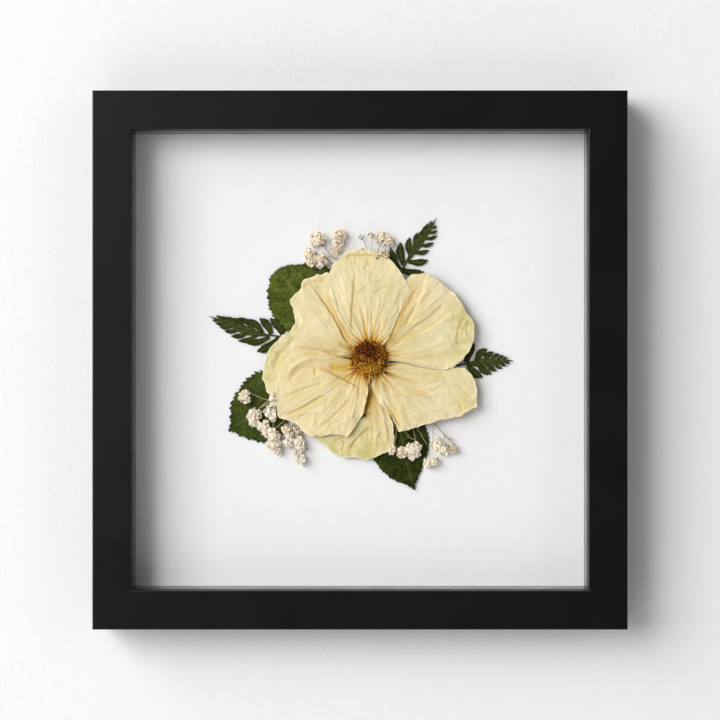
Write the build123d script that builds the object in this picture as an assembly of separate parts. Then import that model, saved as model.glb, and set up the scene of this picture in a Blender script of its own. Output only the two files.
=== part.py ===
from build123d import *
import os

# Deep shadow-box frame with a float-mounted pressed flower. Millimetres.
# +X is to the right and +Z is up for someone facing the glass, and the glass faces -Y.
# The origin is the middle of the footprint, at the level of the frame's underside.

# --- driving dimensions: frame ---
outer_width = 270.0
outer_height = 272.0
face_width = 19.8
rail_depth = 27.5
lip_depth = 4.6
rabbet_width = 6.0
arris_radius = 0.8
back_arris_radius = 0.5
glass_thickness = 2.0
paper_thickness = 0.5
board_thickness = 2.0
panel_thickness = 2.6
panel_recess = 0.3
rabbet_clearance = 0.5
spacer_thickness = 5.6

# --- driving dimensions: hardware on the back ---
bumper_radius = 5.0
bumper_height = 4.0
bumper_inset = 18.0
bumper_edge_radius = 1.0
button_width = 9.0
button_reach = 16.5
button_tail = 4.5
button_thickness = 1.2
button_lift = 0.2
button_offset = 80.0
button_edge_radius = 0.3
bead_height = 0.4
bead_length = 4.5
bead_width = 2.4
bead_place = 0.58
screw_shank_radius = 1.5
screw_head_radius = 2.8
screw_head_height = 1.5
screw_length = 11.0
screw_play = 0.1
screw_dome_radius = 0.6
cross_slot_width = 0.6
cross_slot_depth = 0.8
cross_slot_share = 1.1
nail_wing = 4.2
nail_thickness = 0.5
nail_depth = 10.0
nail_recess = 0.2
nail_places = (6.0, 13.5)

# --- driving dimensions: hangers ---
hanger_height = 180.0
hanger_inset = 7.6
strap_width = 8.6
strap_length = 20.0
strap_thickness = 1.4
strap_screw_drop = 15.0
eye_wall = 0.7
ring_wire = 0.9
ring_play = 0.1
ring_half_width = 5.6
ring_drop = 10.0
ring_corner = 1.6
ring_rest_tilt = 5.0

# --- driving dimensions: specimen, as heights above the paper ---
leaf_layer = (0.3, 1.1)
sprig_layer = (1.3, 3.9)
stem_layer = (1.3, 1.9)
lower_petals = (2.1, 3.9)
middle_petals = (4.1, 5.9)
upper_petals = (6.1, 7.9)
stamen_layer = (8.0, 10.4)
blossom_radius = 3.0
stem_width = 0.7
flower_x = 4.5
flower_z = 0.5
stalk_radius = 3.0
stamen_radius = 9.0
stamen_edge_radius = 1.2

# --- derived places ---
total_depth = rail_depth + bumper_height
front_y = -total_depth / 2
middle_z = outer_height / 2
wall_width = face_width - rabbet_width
glass_back = lip_depth + glass_thickness
panel_front = rail_depth - panel_recess - panel_thickness
board_front = panel_front - board_thickness
paper_front = board_front - paper_thickness
spacer_inset = wall_width + rabbet_clearance
screw_bed = rail_depth + button_lift + button_thickness + screw_play
eye_inner = ring_wire + ring_play
eye_radius = eye_inner + eye_wall

# Each side of the frame: turn about Y, length, distance from the middle to the outer edge.
sides = {
    "bottom": (0, outer_width, outer_height / 2),
    "left": (90, outer_height, outer_width / 2),
    "top": (180, outer_width, outer_height / 2),
    "right": (270, outer_height, outer_width / 2),
}
corners = [
    (45, -outer_width / 2, 0),
    (-45, outer_width / 2, 0),
    (135, -outer_width / 2, outer_height),
    (-135, outer_width / 2, outer_height),
]


def face_plane(depth):
    """A plane parallel to the glass, a depth behind the front face, that looks out to the front."""
    return Plane(origin=(0, front_y + depth, 0), x_dir=(1, 0, 0), z_dir=(0, -1, 0))


def slab(sketch, near, far):
    """A sketch in X and Z made solid between two depths behind the front face."""
    return extrude(face_plane(far) * sketch, amount=far - near)


def on_side(side, shape):
    """Move a shape drawn along the X axis, outer edge at Z = 0, to one side of the frame."""
    turn, _, reach = sides[side]
    return Pos(0, 0, middle_z) * Rot(0, turn, 0) * Pos(0, 0, -reach) * shape


def mitred_outline(length, outer, inner):
    """A strip with both ends cut at 45 degrees, from an outer to an inner offset."""
    half = length / 2
    return Polygon(
        (-half + outer, outer),
        (half - outer, outer),
        (half - inner, inner),
        (-half + inner, inner),
        align=None,
    )


def panel_outline(inset):
    """A rectangle as large as the frame, less an inset on each side."""
    return Pos(0, middle_z) * Rectangle(outer_width - 2 * inset, outer_height - 2 * inset)


def save(name, shape):
    """Write one named piece or group of loose pieces."""
    export_step(shape, f"parts/{name}.step")


# --- frame ---
def screw_hole(x, z):
    """The pilot hole of one screw in the back of a rail."""
    return slab(Pos(x, z) * Circle(screw_shank_radius), rail_depth - screw_length, rail_depth)


def corner_nail(corner, place):
    """One V-shaped steel nail across a mitre, a distance along it from the outer corner."""
    turn, x, z = corner
    half = nail_thickness / 2
    wing = nail_wing
    chevron = Polygon(
        (0, -half),
        (wing, wing - half),
        (wing, wing + half),
        (0, half),
        (-wing, wing + half),
        (-wing, wing - half),
        align=None,
    )
    nail = slab(chevron, rail_depth - nail_depth, rail_depth - nail_recess)
    return Pos(x, 0, z) * Rot(0, turn, 0) * Pos(0, 0, place) * nail


def corner_nails():
    """All V-nails, two to a corner, in one group."""
    return Compound([corner_nail(corner, place) for corner in corners for place in nail_places])


def nail_pockets():
    """The slots that the V-nails make, open to the back face."""
    pockets = []
    for nail in corner_nails().solids():
        pockets.append(nail)
        pockets.append(Pos(0, nail_recess, 0) * nail)
    return pockets


def rail(side, holes):
    """One moulding: a front lip over a rabbet, ends mitred, front arrises eased."""
    _, length, _ = sides[side]
    lip = slab(mitred_outline(length, 0, face_width), 0, lip_depth)
    wall = slab(mitred_outline(length, 0, wall_width), lip_depth, rail_depth)
    body = (lip + wall).clean()
    long_edges = body.edges().filter_by(Axis.X).group_by(Axis.Y)[0]
    body = fillet(long_edges, arris_radius)
    back_edge = body.edges().filter_by(Axis.X).group_by(Axis.Y)[-1].sort_by(Axis.Z)[0]
    body = fillet(back_edge, back_arris_radius)
    for x, z in holes:
        body -= screw_hole(x, z)
    body = on_side(side, body)
    for pocket in nail_pockets():
        body -= pocket
    return body


def spacer(side):
    """One mitred strip that holds the glass away from the paper."""
    _, length, _ = sides[side]
    outline = mitred_outline(length, spacer_inset, spacer_inset + spacer_thickness)
    return on_side(side, slab(outline, glass_back, paper_front))


# --- back hardware ---
def pan_screw(x, z, bed):
    """A pan-head screw driven in from the back, with its head resting on a bed depth."""
    tip = rail_depth - screw_length
    head_back = bed + screw_head_height
    shank = slab(Pos(x, z) * Circle(screw_shank_radius), tip, bed)
    head = slab(Pos(x, z) * Circle(screw_head_radius), bed, head_back)
    head = fillet(head.edges().group_by(Axis.Y)[-1], screw_dome_radius)
    slot_length = screw_head_radius * cross_slot_share
    cross = Rectangle(slot_length, cross_slot_width) + Rectangle(cross_slot_width, slot_length)
    return shank + head - slab(Pos(x, z) * cross, head_back - cross_slot_depth, head_back)


def turn_button(x):
    """A steel tongue on a screw that swings over the back panel to hold it in."""
    near = rail_depth + button_lift
    far = near + button_thickness
    pivot_z = wall_width / 2
    tongue_length = button_reach - button_width / 2
    tail_length = button_tail - button_width / 2
    middle = pivot_z + (tongue_length - tail_length) / 2
    outline = Pos(x, middle) * SlotCenterToCenter(
        tongue_length + tail_length, button_width, rotation=90
    )
    plate = slab(outline, near, far)
    plate = fillet(plate.edges().group_by(Axis.Y)[-1], button_edge_radius)
    bead_middle = pivot_z + button_reach * bead_place
    bead = Pos(x, bead_middle) * SlotCenterToCenter(bead_length, bead_width, rotation=90)
    plate += slab(bead, far, far + bead_height)
    bore = Pos(x, pivot_z) * Circle(screw_shank_radius + screw_play)
    return plate - slab(bore, near, far)


def wall_bumper(x, z):
    """One rubber foot that keeps the frame off the wall."""
    foot = slab(Pos(x, z) * Circle(bumper_radius), rail_depth, rail_depth + bumper_height)
    return fillet(foot.edges().group_by(Axis.Y)[-1], bumper_edge_radius)


def hanger_strap(x):
    """A folded strap whose eye wraps the ring's straight bar."""
    bottom = hanger_height - strap_length
    plate_height = strap_length - strap_width / 2
    plate_middle = hanger_height - plate_height / 2
    outline = Pos(x, plate_middle) * Rectangle(strap_width, plate_height)
    outline += Pos(x, bottom + strap_width / 2) * Circle(strap_width / 2)
    strap = slab(outline, rail_depth, rail_depth + strap_thickness)
    eye_y = front_y + rail_depth + eye_radius
    strap += Pos(x, eye_y, hanger_height) * Rot(0, 90, 0) * Cylinder(eye_radius, strap_width)
    strap -= Pos(x, eye_y, hanger_height) * Rot(0, 90, 0) * Cylinder(eye_inner, strap_width)
    screw_z = hanger_height - strap_screw_drop
    return strap - slab(
        Pos(x, screw_z) * Circle(screw_shank_radius), rail_depth, rail_depth + strap_thickness
    )


def d_ring(x):
    """A D of steel wire that hangs from its straight bar in the strap's eye."""
    straight = ring_drop - ring_half_width
    half = ring_half_width
    bar_and_legs = Polyline((-half, -straight), (-half, 0), (half, 0), (half, -straight))
    bow = ThreePointArc((half, -straight), (0, -ring_drop), (-half, -straight))
    outline = make_face(bar_and_legs + bow)
    outline = fillet(outline.vertices().group_by(Axis.Y)[-1], ring_corner)
    path = (Plane.XZ * outline).face().outer_wire()
    start = Plane(origin=path @ 0, z_dir=path % 0)
    ring = sweep(start * Circle(ring_wire), path=path)
    eye_y = front_y + rail_depth + eye_radius
    return Pos(x, eye_y, hanger_height) * Rot(ring_rest_tilt, 0, 0) * ring


# --- specimen ---
def specimen_slab(sketch, layer):
    """A flat sketch about the frame's middle, made solid between two heights above the paper."""
    low, high = layer
    return slab(Pos(0, middle_z) * sketch, paper_front - high, paper_front - low)


def blade(points):
    """A closed smooth outline through a few points."""
    return make_face(Spline(*points, periodic=True))


def frond_outline(base, tip, width):
    """The pointed overall shape of a fern tip between its base and its tip, made of two arcs."""
    start = Vector(*base)
    end = Vector(*tip)
    middle = (start + end) / 2
    across = (end - start).rotate(Axis.Z, 90).normalized() * (width / 2)
    edge = ThreePointArc(start, middle + across, end) + ThreePointArc(end, middle - across, start)
    return make_face(edge)


def stem_outline(start, end):
    """A thin straight stem as a strip between two points."""
    a = Vector(*start)
    b = Vector(*end)
    across = (b - a).rotate(Axis.Z, 90).normalized() * (stem_width / 2)
    return make_face(Polyline(a + across, b + across, b - across, a - across, close=True))


def sprig(root, blossoms):
    """Dried baby's breath: small round blossoms, each on a stem from one root."""
    shape = specimen_slab(Pos(*root) * Circle(stem_width), stem_layer)
    for place in blossoms:
        shape += specimen_slab(stem_outline(root, place), stem_layer)
        shape += specimen_slab(Pos(*place) * Circle(blossom_radius), sprig_layer)
    return shape


petals = {
    "petal_upper_left": (lower_petals, [
        (-0.4, 4.0), (-10, 22), (-16, 43), (-29, 41.5), (-35, 30), (-35, 16), (-47, 4), (-48, -13),
        (-22, -5),
    ]),
    "petal_bottom": (lower_petals, [
        (5.0, -4.5), (2, -18), (-8, -35), (-21, -40), (-8, -50), (9, -49), (17.5, -38), (9, -18),
    ]),
    "petal_upper_right": (middle_petals, [
        (8.6, 3.6), (17, 24), (25, 42), (38, 42), (53, 27), (59, 15), (52, 0), (40, -4),
        (24, -1.2),
    ]),
    "petal_lower_right": (middle_petals, [
        (8.5, -2.2), (24, -3.6), (42, -6.5), (55, -6), (60, -20), (46, -30), (21, -36.5),
        (11, -24), (6.6, -4.8),
    ]),
    "petal_lower_left": (middle_petals, [
        (0.0, 1.0), (-22, 5), (-43, -1), (-47, -15), (-40, -30), (-24, -38.5), (-7, -38.5),
        (3, -22), (2.6, -4.2),
    ]),
    "petal_top": (upper_petals, [
        (3.0, 5.0), (-11, 22), (-16.5, 40), (-8, 54), (4, 56.5), (17, 50), (24.5, 36), (17, 15),
    ]),
}
leaves = {
    "leaf_upper_left": [
        (-34, 16), (-44, 22), (-47, 34), (-42, 46), (-28, 48.5), (-16, 45), (-19, 26),
    ],
    "leaf_lower_left": [
        (-40, -12), (-52, -8), (-61, -16), (-65.5, -28), (-66, -36.5), (-52, -40), (-42, -32),
    ],
    "leaf_bottom": [
        (16, -34), (6, -48), (15, -58), (28, -66), (33.5, -54), (34, -38), (26, -32),
    ],
}
ferns = {
    "fern_left": ((-35, 11), (-77, 22), 17),
    "fern_top": ((21, 39), (39, 73), 21),
    "fern_right": ((43, -4), (78, 0), 15),
}
sprigs = {
    "sprig_top_left": ((-6, 45), [(-21, 62), (-11, 63), (-25, 53), (-18, 51), (-13, 56)]),
    "sprig_top_right": ((8, 48), [(1, 63), (5.5, 64), (12, 61), (11, 54)]),
    "sprig_lower_left": ((-34, -26), [
        (-59, -18), (-55, -28), (-46, -26), (-49, -35), (-44, -42), (-37, -35), (-35, -42),
        (-31, -48),
    ]),
    "sprig_bottom": ((25, -28), [
        (19.4, -45.5), (23.5, -48), (28, -44.5), (36, -52.5), (41, -44), (47, -45),
    ]),
}


def flower_centre():
    """The stalk through the petals, with the dense disc of stamens on it."""
    place = Pos(flower_x, flower_z)
    stalk = specimen_slab(place * Circle(stalk_radius), (0, stamen_layer[0]))
    disc = specimen_slab(place * Circle(stamen_radius), stamen_layer)
    disc = fillet(disc.edges().group_by(Axis.Y)[0], stamen_edge_radius)
    return stalk + disc


# --- where the screws go ---
pivot_inset = wall_width / 2
button_side_names = {
    "bottom": ("right", "left"),
    "left": ("lower", "upper"),
    "top": ("left", "right"),
    "right": ("upper", "lower"),
}
hanger_x = outer_width / 2 - hanger_inset
hanger_screw_z = hanger_height - strap_screw_drop
hanger_screw_offset = hanger_screw_z - middle_z

os.makedirs("parts", exist_ok=True)

# Frame.
for side in sides:
    holes = [(-button_offset, pivot_inset), (button_offset, pivot_inset)]
    if side == "left":
        holes.append((-hanger_screw_offset, hanger_inset))
    if side == "right":
        holes.append((hanger_screw_offset, hanger_inset))
    save(f"rail_{side}", rail(side, holes))
    save(f"spacer_{side}", spacer(side))
save("corner_nails", corner_nails())

# Glazing package.
save("glazing", slab(panel_outline(spacer_inset), lip_depth, glass_back))
save("mount_paper", slab(panel_outline(spacer_inset), paper_front, board_front))
save("mount_board", slab(panel_outline(spacer_inset), board_front, panel_front))
save("back_panel", slab(panel_outline(spacer_inset), panel_front, panel_front + panel_thickness))

# Turn buttons and their screws.
button_screws = []
for side, names in button_side_names.items():
    for name, x in zip(names, (button_offset, -button_offset)):
        save(f"turn_button_{side}_{name}", on_side(side, turn_button(x)))
        button_screws.append(on_side(side, pan_screw(x, pivot_inset, screw_bed)))
save("turn_button_screws", Compound(button_screws))

# Hangers.
strap_bed = rail_depth + strap_thickness
hanger_screws = []
for name, x in (("left", -hanger_x), ("right", hanger_x)):
    save(f"hanger_strap_{name}", hanger_strap(x))
    save(f"d_ring_{name}", d_ring(x))
    hanger_screws.append(pan_screw(x, hanger_screw_z, strap_bed))
save("hanger_screws", Compound(hanger_screws))

# Wall bumpers.
bumper_x = outer_width / 2 - bumper_inset
bumper_low = wall_width / 2
bumper_high = outer_height - wall_width / 2
bumpers = [wall_bumper(x, z) for x in (-bumper_x, bumper_x) for z in (bumper_low, bumper_high)]
save("wall_bumpers", Compound(bumpers))

# Specimen.
save("flower_centre", flower_centre())
for name, (layer, points) in petals.items():
    save(name, specimen_slab(blade(points), layer))
for name, points in leaves.items():
    save(name, specimen_slab(blade(points), leaf_layer))
for name, (base, tip, width) in ferns.items():
    save(name, specimen_slab(frond_outline(base, tip, width), leaf_layer))
for name, (root, blossoms) in sprigs.items():
    save(name, sprig(root, blossoms))
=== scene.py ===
"""A black box frame with a float-mounted dried flower, hung on a pale wall.

Lengths in the specimen are millimetres about the middle of the paper: u to the right, v up and
h off the paper towards the glass. place() turns them into metres in the CAD model's axes.
"""
import math
from functools import cached_property

import bpy
import numpy as np
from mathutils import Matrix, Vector


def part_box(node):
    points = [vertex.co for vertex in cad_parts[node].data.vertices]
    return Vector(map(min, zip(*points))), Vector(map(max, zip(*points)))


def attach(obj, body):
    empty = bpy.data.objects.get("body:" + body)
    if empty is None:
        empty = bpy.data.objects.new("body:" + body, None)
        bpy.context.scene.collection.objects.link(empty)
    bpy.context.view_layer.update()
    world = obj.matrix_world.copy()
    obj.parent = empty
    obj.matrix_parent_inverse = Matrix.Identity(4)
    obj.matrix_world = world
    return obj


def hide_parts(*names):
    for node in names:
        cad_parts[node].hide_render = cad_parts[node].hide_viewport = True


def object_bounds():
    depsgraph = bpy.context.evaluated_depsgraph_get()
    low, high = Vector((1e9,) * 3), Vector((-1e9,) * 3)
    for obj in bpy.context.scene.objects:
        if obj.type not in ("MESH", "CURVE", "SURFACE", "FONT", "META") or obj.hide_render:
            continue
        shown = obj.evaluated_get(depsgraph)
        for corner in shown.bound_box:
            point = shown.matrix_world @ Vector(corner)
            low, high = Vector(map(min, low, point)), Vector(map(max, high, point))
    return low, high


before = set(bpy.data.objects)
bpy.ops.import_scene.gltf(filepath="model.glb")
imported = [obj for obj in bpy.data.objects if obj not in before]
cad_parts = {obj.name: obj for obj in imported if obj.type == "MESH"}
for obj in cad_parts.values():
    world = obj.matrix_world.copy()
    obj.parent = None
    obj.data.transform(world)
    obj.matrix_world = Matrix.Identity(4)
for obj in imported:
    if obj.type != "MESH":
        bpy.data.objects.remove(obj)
cad_low, cad_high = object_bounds()

MM = 0.001
ROOT = "frame"
WALL_GAP = 0.2 * MM
paper_low, paper_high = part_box("mount_paper")
paper_y = paper_low.y
middle_x = (paper_low.x + paper_high.x) / 2
middle_z = (paper_low.z + paper_high.z) / 2
frame_front = cad_low.y
wall_y = cad_high.y + WALL_GAP


# ---------------------------------------------------------------- camera, light and stage
CAMERA_DISTANCE = 1.10  # metres in front of the frame's face
VIEW_WIDTH = 0.3629  # metres across the view at the face
SENSOR = 36.0  # millimetres


def add_camera():
    """A long lens straight in front of the glass."""
    data = bpy.data.cameras.new("camera")
    data.sensor_width = SENSOR
    data.lens = SENSOR * CAMERA_DISTANCE / VIEW_WIDTH
    camera = bpy.data.objects.new("camera", data)
    bpy.context.collection.objects.link(camera)
    camera.location = (middle_x, frame_front - CAMERA_DISTANCE, middle_z)
    camera.rotation_euler = (math.radians(90), 0, 0)
    bpy.context.scene.camera = camera


def add_area_light(name, offset, size, power, colour=(1, 1, 1)):
    """A soft box at an offset from the middle of the frame's face, aimed at that point."""
    data = bpy.data.lights.new(name, "AREA")
    data.shape = "RECTANGLE"
    data.size, data.size_y = size
    data.energy = power
    data.color = colour
    light = bpy.data.objects.new(name, data)
    bpy.context.collection.objects.link(light)
    target = Vector((middle_x, frame_front, middle_z))
    light.location = target + Vector(offset)
    light.rotation_euler = (target - light.location).to_track_quat("-Z", "Y").to_euler()


def add_lights():
    """A broad window-like key from the upper left, two smaller ones, a weak warm fill from the right
    and a soft light behind."""
    daylight = (0.985, 0.99, 1.0)
    add_area_light("key", (-2.62, -2.85, 1.12), (3.1, 2.8), 160, daylight)
    add_area_light("high_key", (-2.8, -1.25, 2.57), (1.6, 1.6), 32, daylight)
    add_area_light("near_key", (-1.59, -3.57, 0.83), (2.0, 2.0), 25, daylight)
    add_area_light("right_fill", (2.6, -2.4, 0.7), (1.6, 1.6), 9, (1.0, 0.94, 0.88))
    add_area_light("back_fill", (0.9, 1.6, 0.9), (1.4, 1.4), 20)


def set_world():
    """An even pale surround."""
    world = bpy.data.worlds.new("studio")
    bpy.context.scene.world = world
    world.use_nodes = True
    background = world.node_tree.nodes["Background"]
    background.inputs["Color"].default_value = (1.0, 0.965, 0.93, 1)
    background.inputs["Strength"].default_value = 0.135
    bpy.context.scene.view_settings.view_transform = "Standard"


# ---------------------------------------------------------------- numbers and noise
TABLE = np.random.default_rng(7).random((256, 256))
GOLDEN_ANGLE = 2.399963
FULL_TURN = 6.28


def value_noise(x, y, layer=0):
    """Smooth noise from 0 to 1 with a period of one unit."""
    x = np.asarray(x, float) + 37.7 * layer
    y = np.asarray(y, float) + 91.3 * layer
    x0, y0 = np.floor(x).astype(int), np.floor(y).astype(int)
    fx, fy = x - x0, y - y0
    fx, fy = fx * fx * (3 - 2 * fx), fy * fy * (3 - 2 * fy)
    a = TABLE[x0 % 256, y0 % 256]
    b = TABLE[(x0 + 1) % 256, y0 % 256]
    c = TABLE[x0 % 256, (y0 + 1) % 256]
    d = TABLE[(x0 + 1) % 256, (y0 + 1) % 256]
    return (a * (1 - fx) + b * fx) * (1 - fy) + (c * (1 - fx) + d * fx) * fy


def wrinkle(x, y, layer=0, octaves=3):
    """Noise about zero, each octave half as large and twice as fine."""
    total = np.zeros(np.broadcast(x, y).shape)
    for k in range(octaves):
        total += (value_noise(x * 2**k, y * 2**k, layer + 3 * k) - 0.5) / 2**k
    return total


def smoothstep(low, high, x):
    """0 below low, 1 above high, smooth between."""
    t = np.clip((x - low) / (high - low), 0, 1)
    return t * t * (3 - 2 * t)


def smooth_spans(a, b, c, d, steps):
    """Points on the smooth curve from each b to its c, between neighbours a and d."""
    t = np.linspace(0, 1, steps, endpoint=False)[None, :, None]
    return 0.5 * (
        2 * b + (c - a) * t + (2 * a - 5 * b + 4 * c - d) * t**2 + (3 * b - a - 3 * c + d) * t**3
    )


def evenly(curve, count, endpoint):
    """Evenly spaced points along a line of closer ones, and the line's length."""
    along = np.concatenate([[0], np.cumsum(np.linalg.norm(np.diff(curve, axis=0), axis=1))])
    wanted = np.linspace(0, along[-1], count, endpoint=endpoint)
    return np.stack([np.interp(wanted, along, axis) for axis in curve.T], 1), along[-1]


def closed_curve(points, count):
    """Evenly spaced points along a smooth closed curve through the given ones, and its length."""
    p = np.array(points, float)
    a, b, c, d = (np.roll(p, shift, 0)[:, None] for shift in (1, 0, -1, -2))
    curve = smooth_spans(a, b, c, d, 24).reshape(-1, 2)
    return evenly(np.vstack([curve, curve[:1]]), count, False)


def open_curve(points, count):
    """Evenly spaced points along a smooth open curve through the given ones."""
    p = np.array(points, float)
    p = np.vstack([2 * p[0] - p[1], p, 2 * p[-1] - p[-2]])
    curve = smooth_spans(p[:-3, None], p[1:-2, None], p[2:-1, None], p[3:, None], 16)
    return evenly(np.vstack([curve.reshape(-1, p.shape[1]), p[-2]]), count, True)[0]


def unit(vectors):
    """A vector, or each row of vectors, at length one."""
    vectors = np.asarray(vectors, float)
    return vectors / np.linalg.norm(vectors, axis=vectors.ndim - 1 or None, keepdims=True)


def headings(line):
    """The directions along a flat line and to its left, at each of its points."""
    run = unit(np.gradient(line, axis=0))
    return run, np.stack([-run[:, 1], run[:, 0]], 1)


def line_distance(points, line):
    """Signed distance to a smooth line, positive on its left, and the share of the way along it."""
    line = open_curve(line, 40)
    start, step = line[:-1], np.diff(line, axis=0)
    length = (step**2).sum(1)
    gap = points[:, None] - start[None]
    t = np.clip((gap * step).sum(2) / length, 0, 1)
    away = gap - t[..., None] * step[None]
    distance = np.linalg.norm(away, axis=2)
    nearest = distance.argmin(1)
    row = np.arange(len(points))
    side = np.sign(step[nearest, 0] * gap[row, nearest, 1] - step[nearest, 1] * gap[row, nearest, 0])
    along = (nearest + t[row, nearest]) / len(step)
    return distance[row, nearest] * side, along


# ---------------------------------------------------------------- mesh building
def place(u, v, h):
    """Specimen millimetres to metres in the CAD model's axes."""
    u, v, h = np.broadcast_arrays(u, v, h)
    return np.stack([middle_x + u * MM, paper_y - h * MM, middle_z + v * MM], axis=-1)


class Mesh:
    """Vertices, faces, a colour for each vertex and a texture place for each face corner."""

    def __init__(self):
        self.vertices, self.faces, self.tints, self.places = [], [], [], []
        self.count = 0

    def add(self, vertices, faces, tints, places):
        """Adds a patch. places holds one (x, y) for each vertex."""
        vertices = np.asarray(vertices, float).reshape(-1, 3)
        tints = np.broadcast_to(np.asarray(tints, float), (len(vertices), 4))
        places = np.broadcast_to(np.asarray(places, float), (len(vertices), 2))
        self.vertices.append(vertices)
        self.tints.append(tints)
        self.places.append(places)
        self.faces += [tuple(int(i) + self.count for i in face) for face in faces]
        self.count += len(vertices)

    def build(self, node, material, thickness=0.0):
        """Makes the piece that stands for a CAD node, with its own thickness if it is a sheet."""
        name = node + "_skin"
        data = bpy.data.meshes.new(name)
        data.from_pydata(np.concatenate(self.vertices).tolist(), [], self.faces)
        tint = data.color_attributes.new("tint", "FLOAT_COLOR", "POINT")
        tint.data.foreach_set("color", np.concatenate(self.tints).astype(np.float32).ravel())
        layer = data.uv_layers.new(name="grain")
        corners = np.empty(len(data.loops), int)
        data.loops.foreach_get("vertex_index", corners)
        layer.data.foreach_set("uv", np.concatenate(self.places)[corners].astype(np.float32).ravel())
        data.validate()
        data.update()
        data.shade_smooth()
        piece = bpy.data.objects.new(name, data)
        bpy.context.collection.objects.link(piece)
        data.materials.append(material)
        if thickness:
            solid = piece.modifiers.new("thickness", "SOLIDIFY")
            solid.thickness = thickness * MM
            solid.offset = 0
        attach(piece, ROOT)
        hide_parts(node)


def grid_faces(rows, columns, wrap=False):
    """Quads over a grid of vertices, row by row, wrapped round the columns if asked."""
    faces = []
    for i in range(rows - 1):
        for j in range(columns if wrap else columns - 1):
            k = (j + 1) % columns
            faces.append((i * columns + j, i * columns + k, (i + 1) * columns + k, (i + 1) * columns + j))
    return faces


def add_tube(mesh, points, radii, tint, sides=7):
    """A round stem along specimen points (u, v, h)."""
    points = np.asarray(points, float)
    radii = np.broadcast_to(radii, len(points))
    run = unit(np.gradient(points, axis=0))
    side = unit(np.cross(run, (0.13, 0.21, 0.97)))
    other = np.cross(run, side)
    turn = np.linspace(0, 2 * np.pi, sides, endpoint=False)
    ring = side[:, None] * np.cos(turn)[None, :, None] + other[:, None] * np.sin(turn)[None, :, None]
    skin = (points[:, None] + ring * radii[:, None, None]).reshape(-1, 3)
    faces = grid_faces(len(points), sides, wrap=True)
    faces.append(tuple(range(sides))[::-1])
    faces.append(tuple(range(len(skin) - sides, len(skin))))
    along = np.repeat(np.linspace(0, 1, len(points)), sides)
    mesh.add(place(*skin.T), faces, tint, np.stack([along, along], 1))


def blob_shape(rings=5, sides=8):
    """A unit ball as vertices and faces."""
    tilt = np.linspace(0, np.pi, rings + 1)[1:-1]
    turn = np.linspace(0, 2 * np.pi, sides, endpoint=False)
    body = np.stack([
        np.outer(np.sin(tilt), np.cos(turn)),
        np.outer(np.sin(tilt), np.sin(turn)),
        np.outer(np.cos(tilt), np.ones(sides)),
    ], -1).reshape(-1, 3)
    vertices = np.vstack([[0, 0, 1], body, [0, 0, -1]])
    faces = [(0, 1 + j, 1 + (j + 1) % sides) for j in range(sides)]
    faces += [tuple(1 + i for i in face[::-1]) for face in grid_faces(rings - 1, sides, wrap=True)]
    last, start = len(vertices) - 1, 1 + (rings - 2) * sides
    faces += [(last, start + (j + 1) % sides, start + j) for j in range(sides)]
    return vertices, faces


BLOB = blob_shape()


def add_blob(mesh, centre, radii, axis, tint):
    """A small ellipsoid whose long axis points along axis."""
    vertices, faces = BLOB
    axis = unit(axis)
    side = unit(np.cross(axis, (0.3, 0.1, 0.9) if abs(axis[2]) < 0.9 else (1, 0, 0)))
    turn = np.stack([side, np.cross(axis, side), axis])
    shape = (vertices * np.asarray(radii)) @ turn + np.asarray(centre)
    mesh.add(place(*shape.T), faces, tint, (0, 0))


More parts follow.
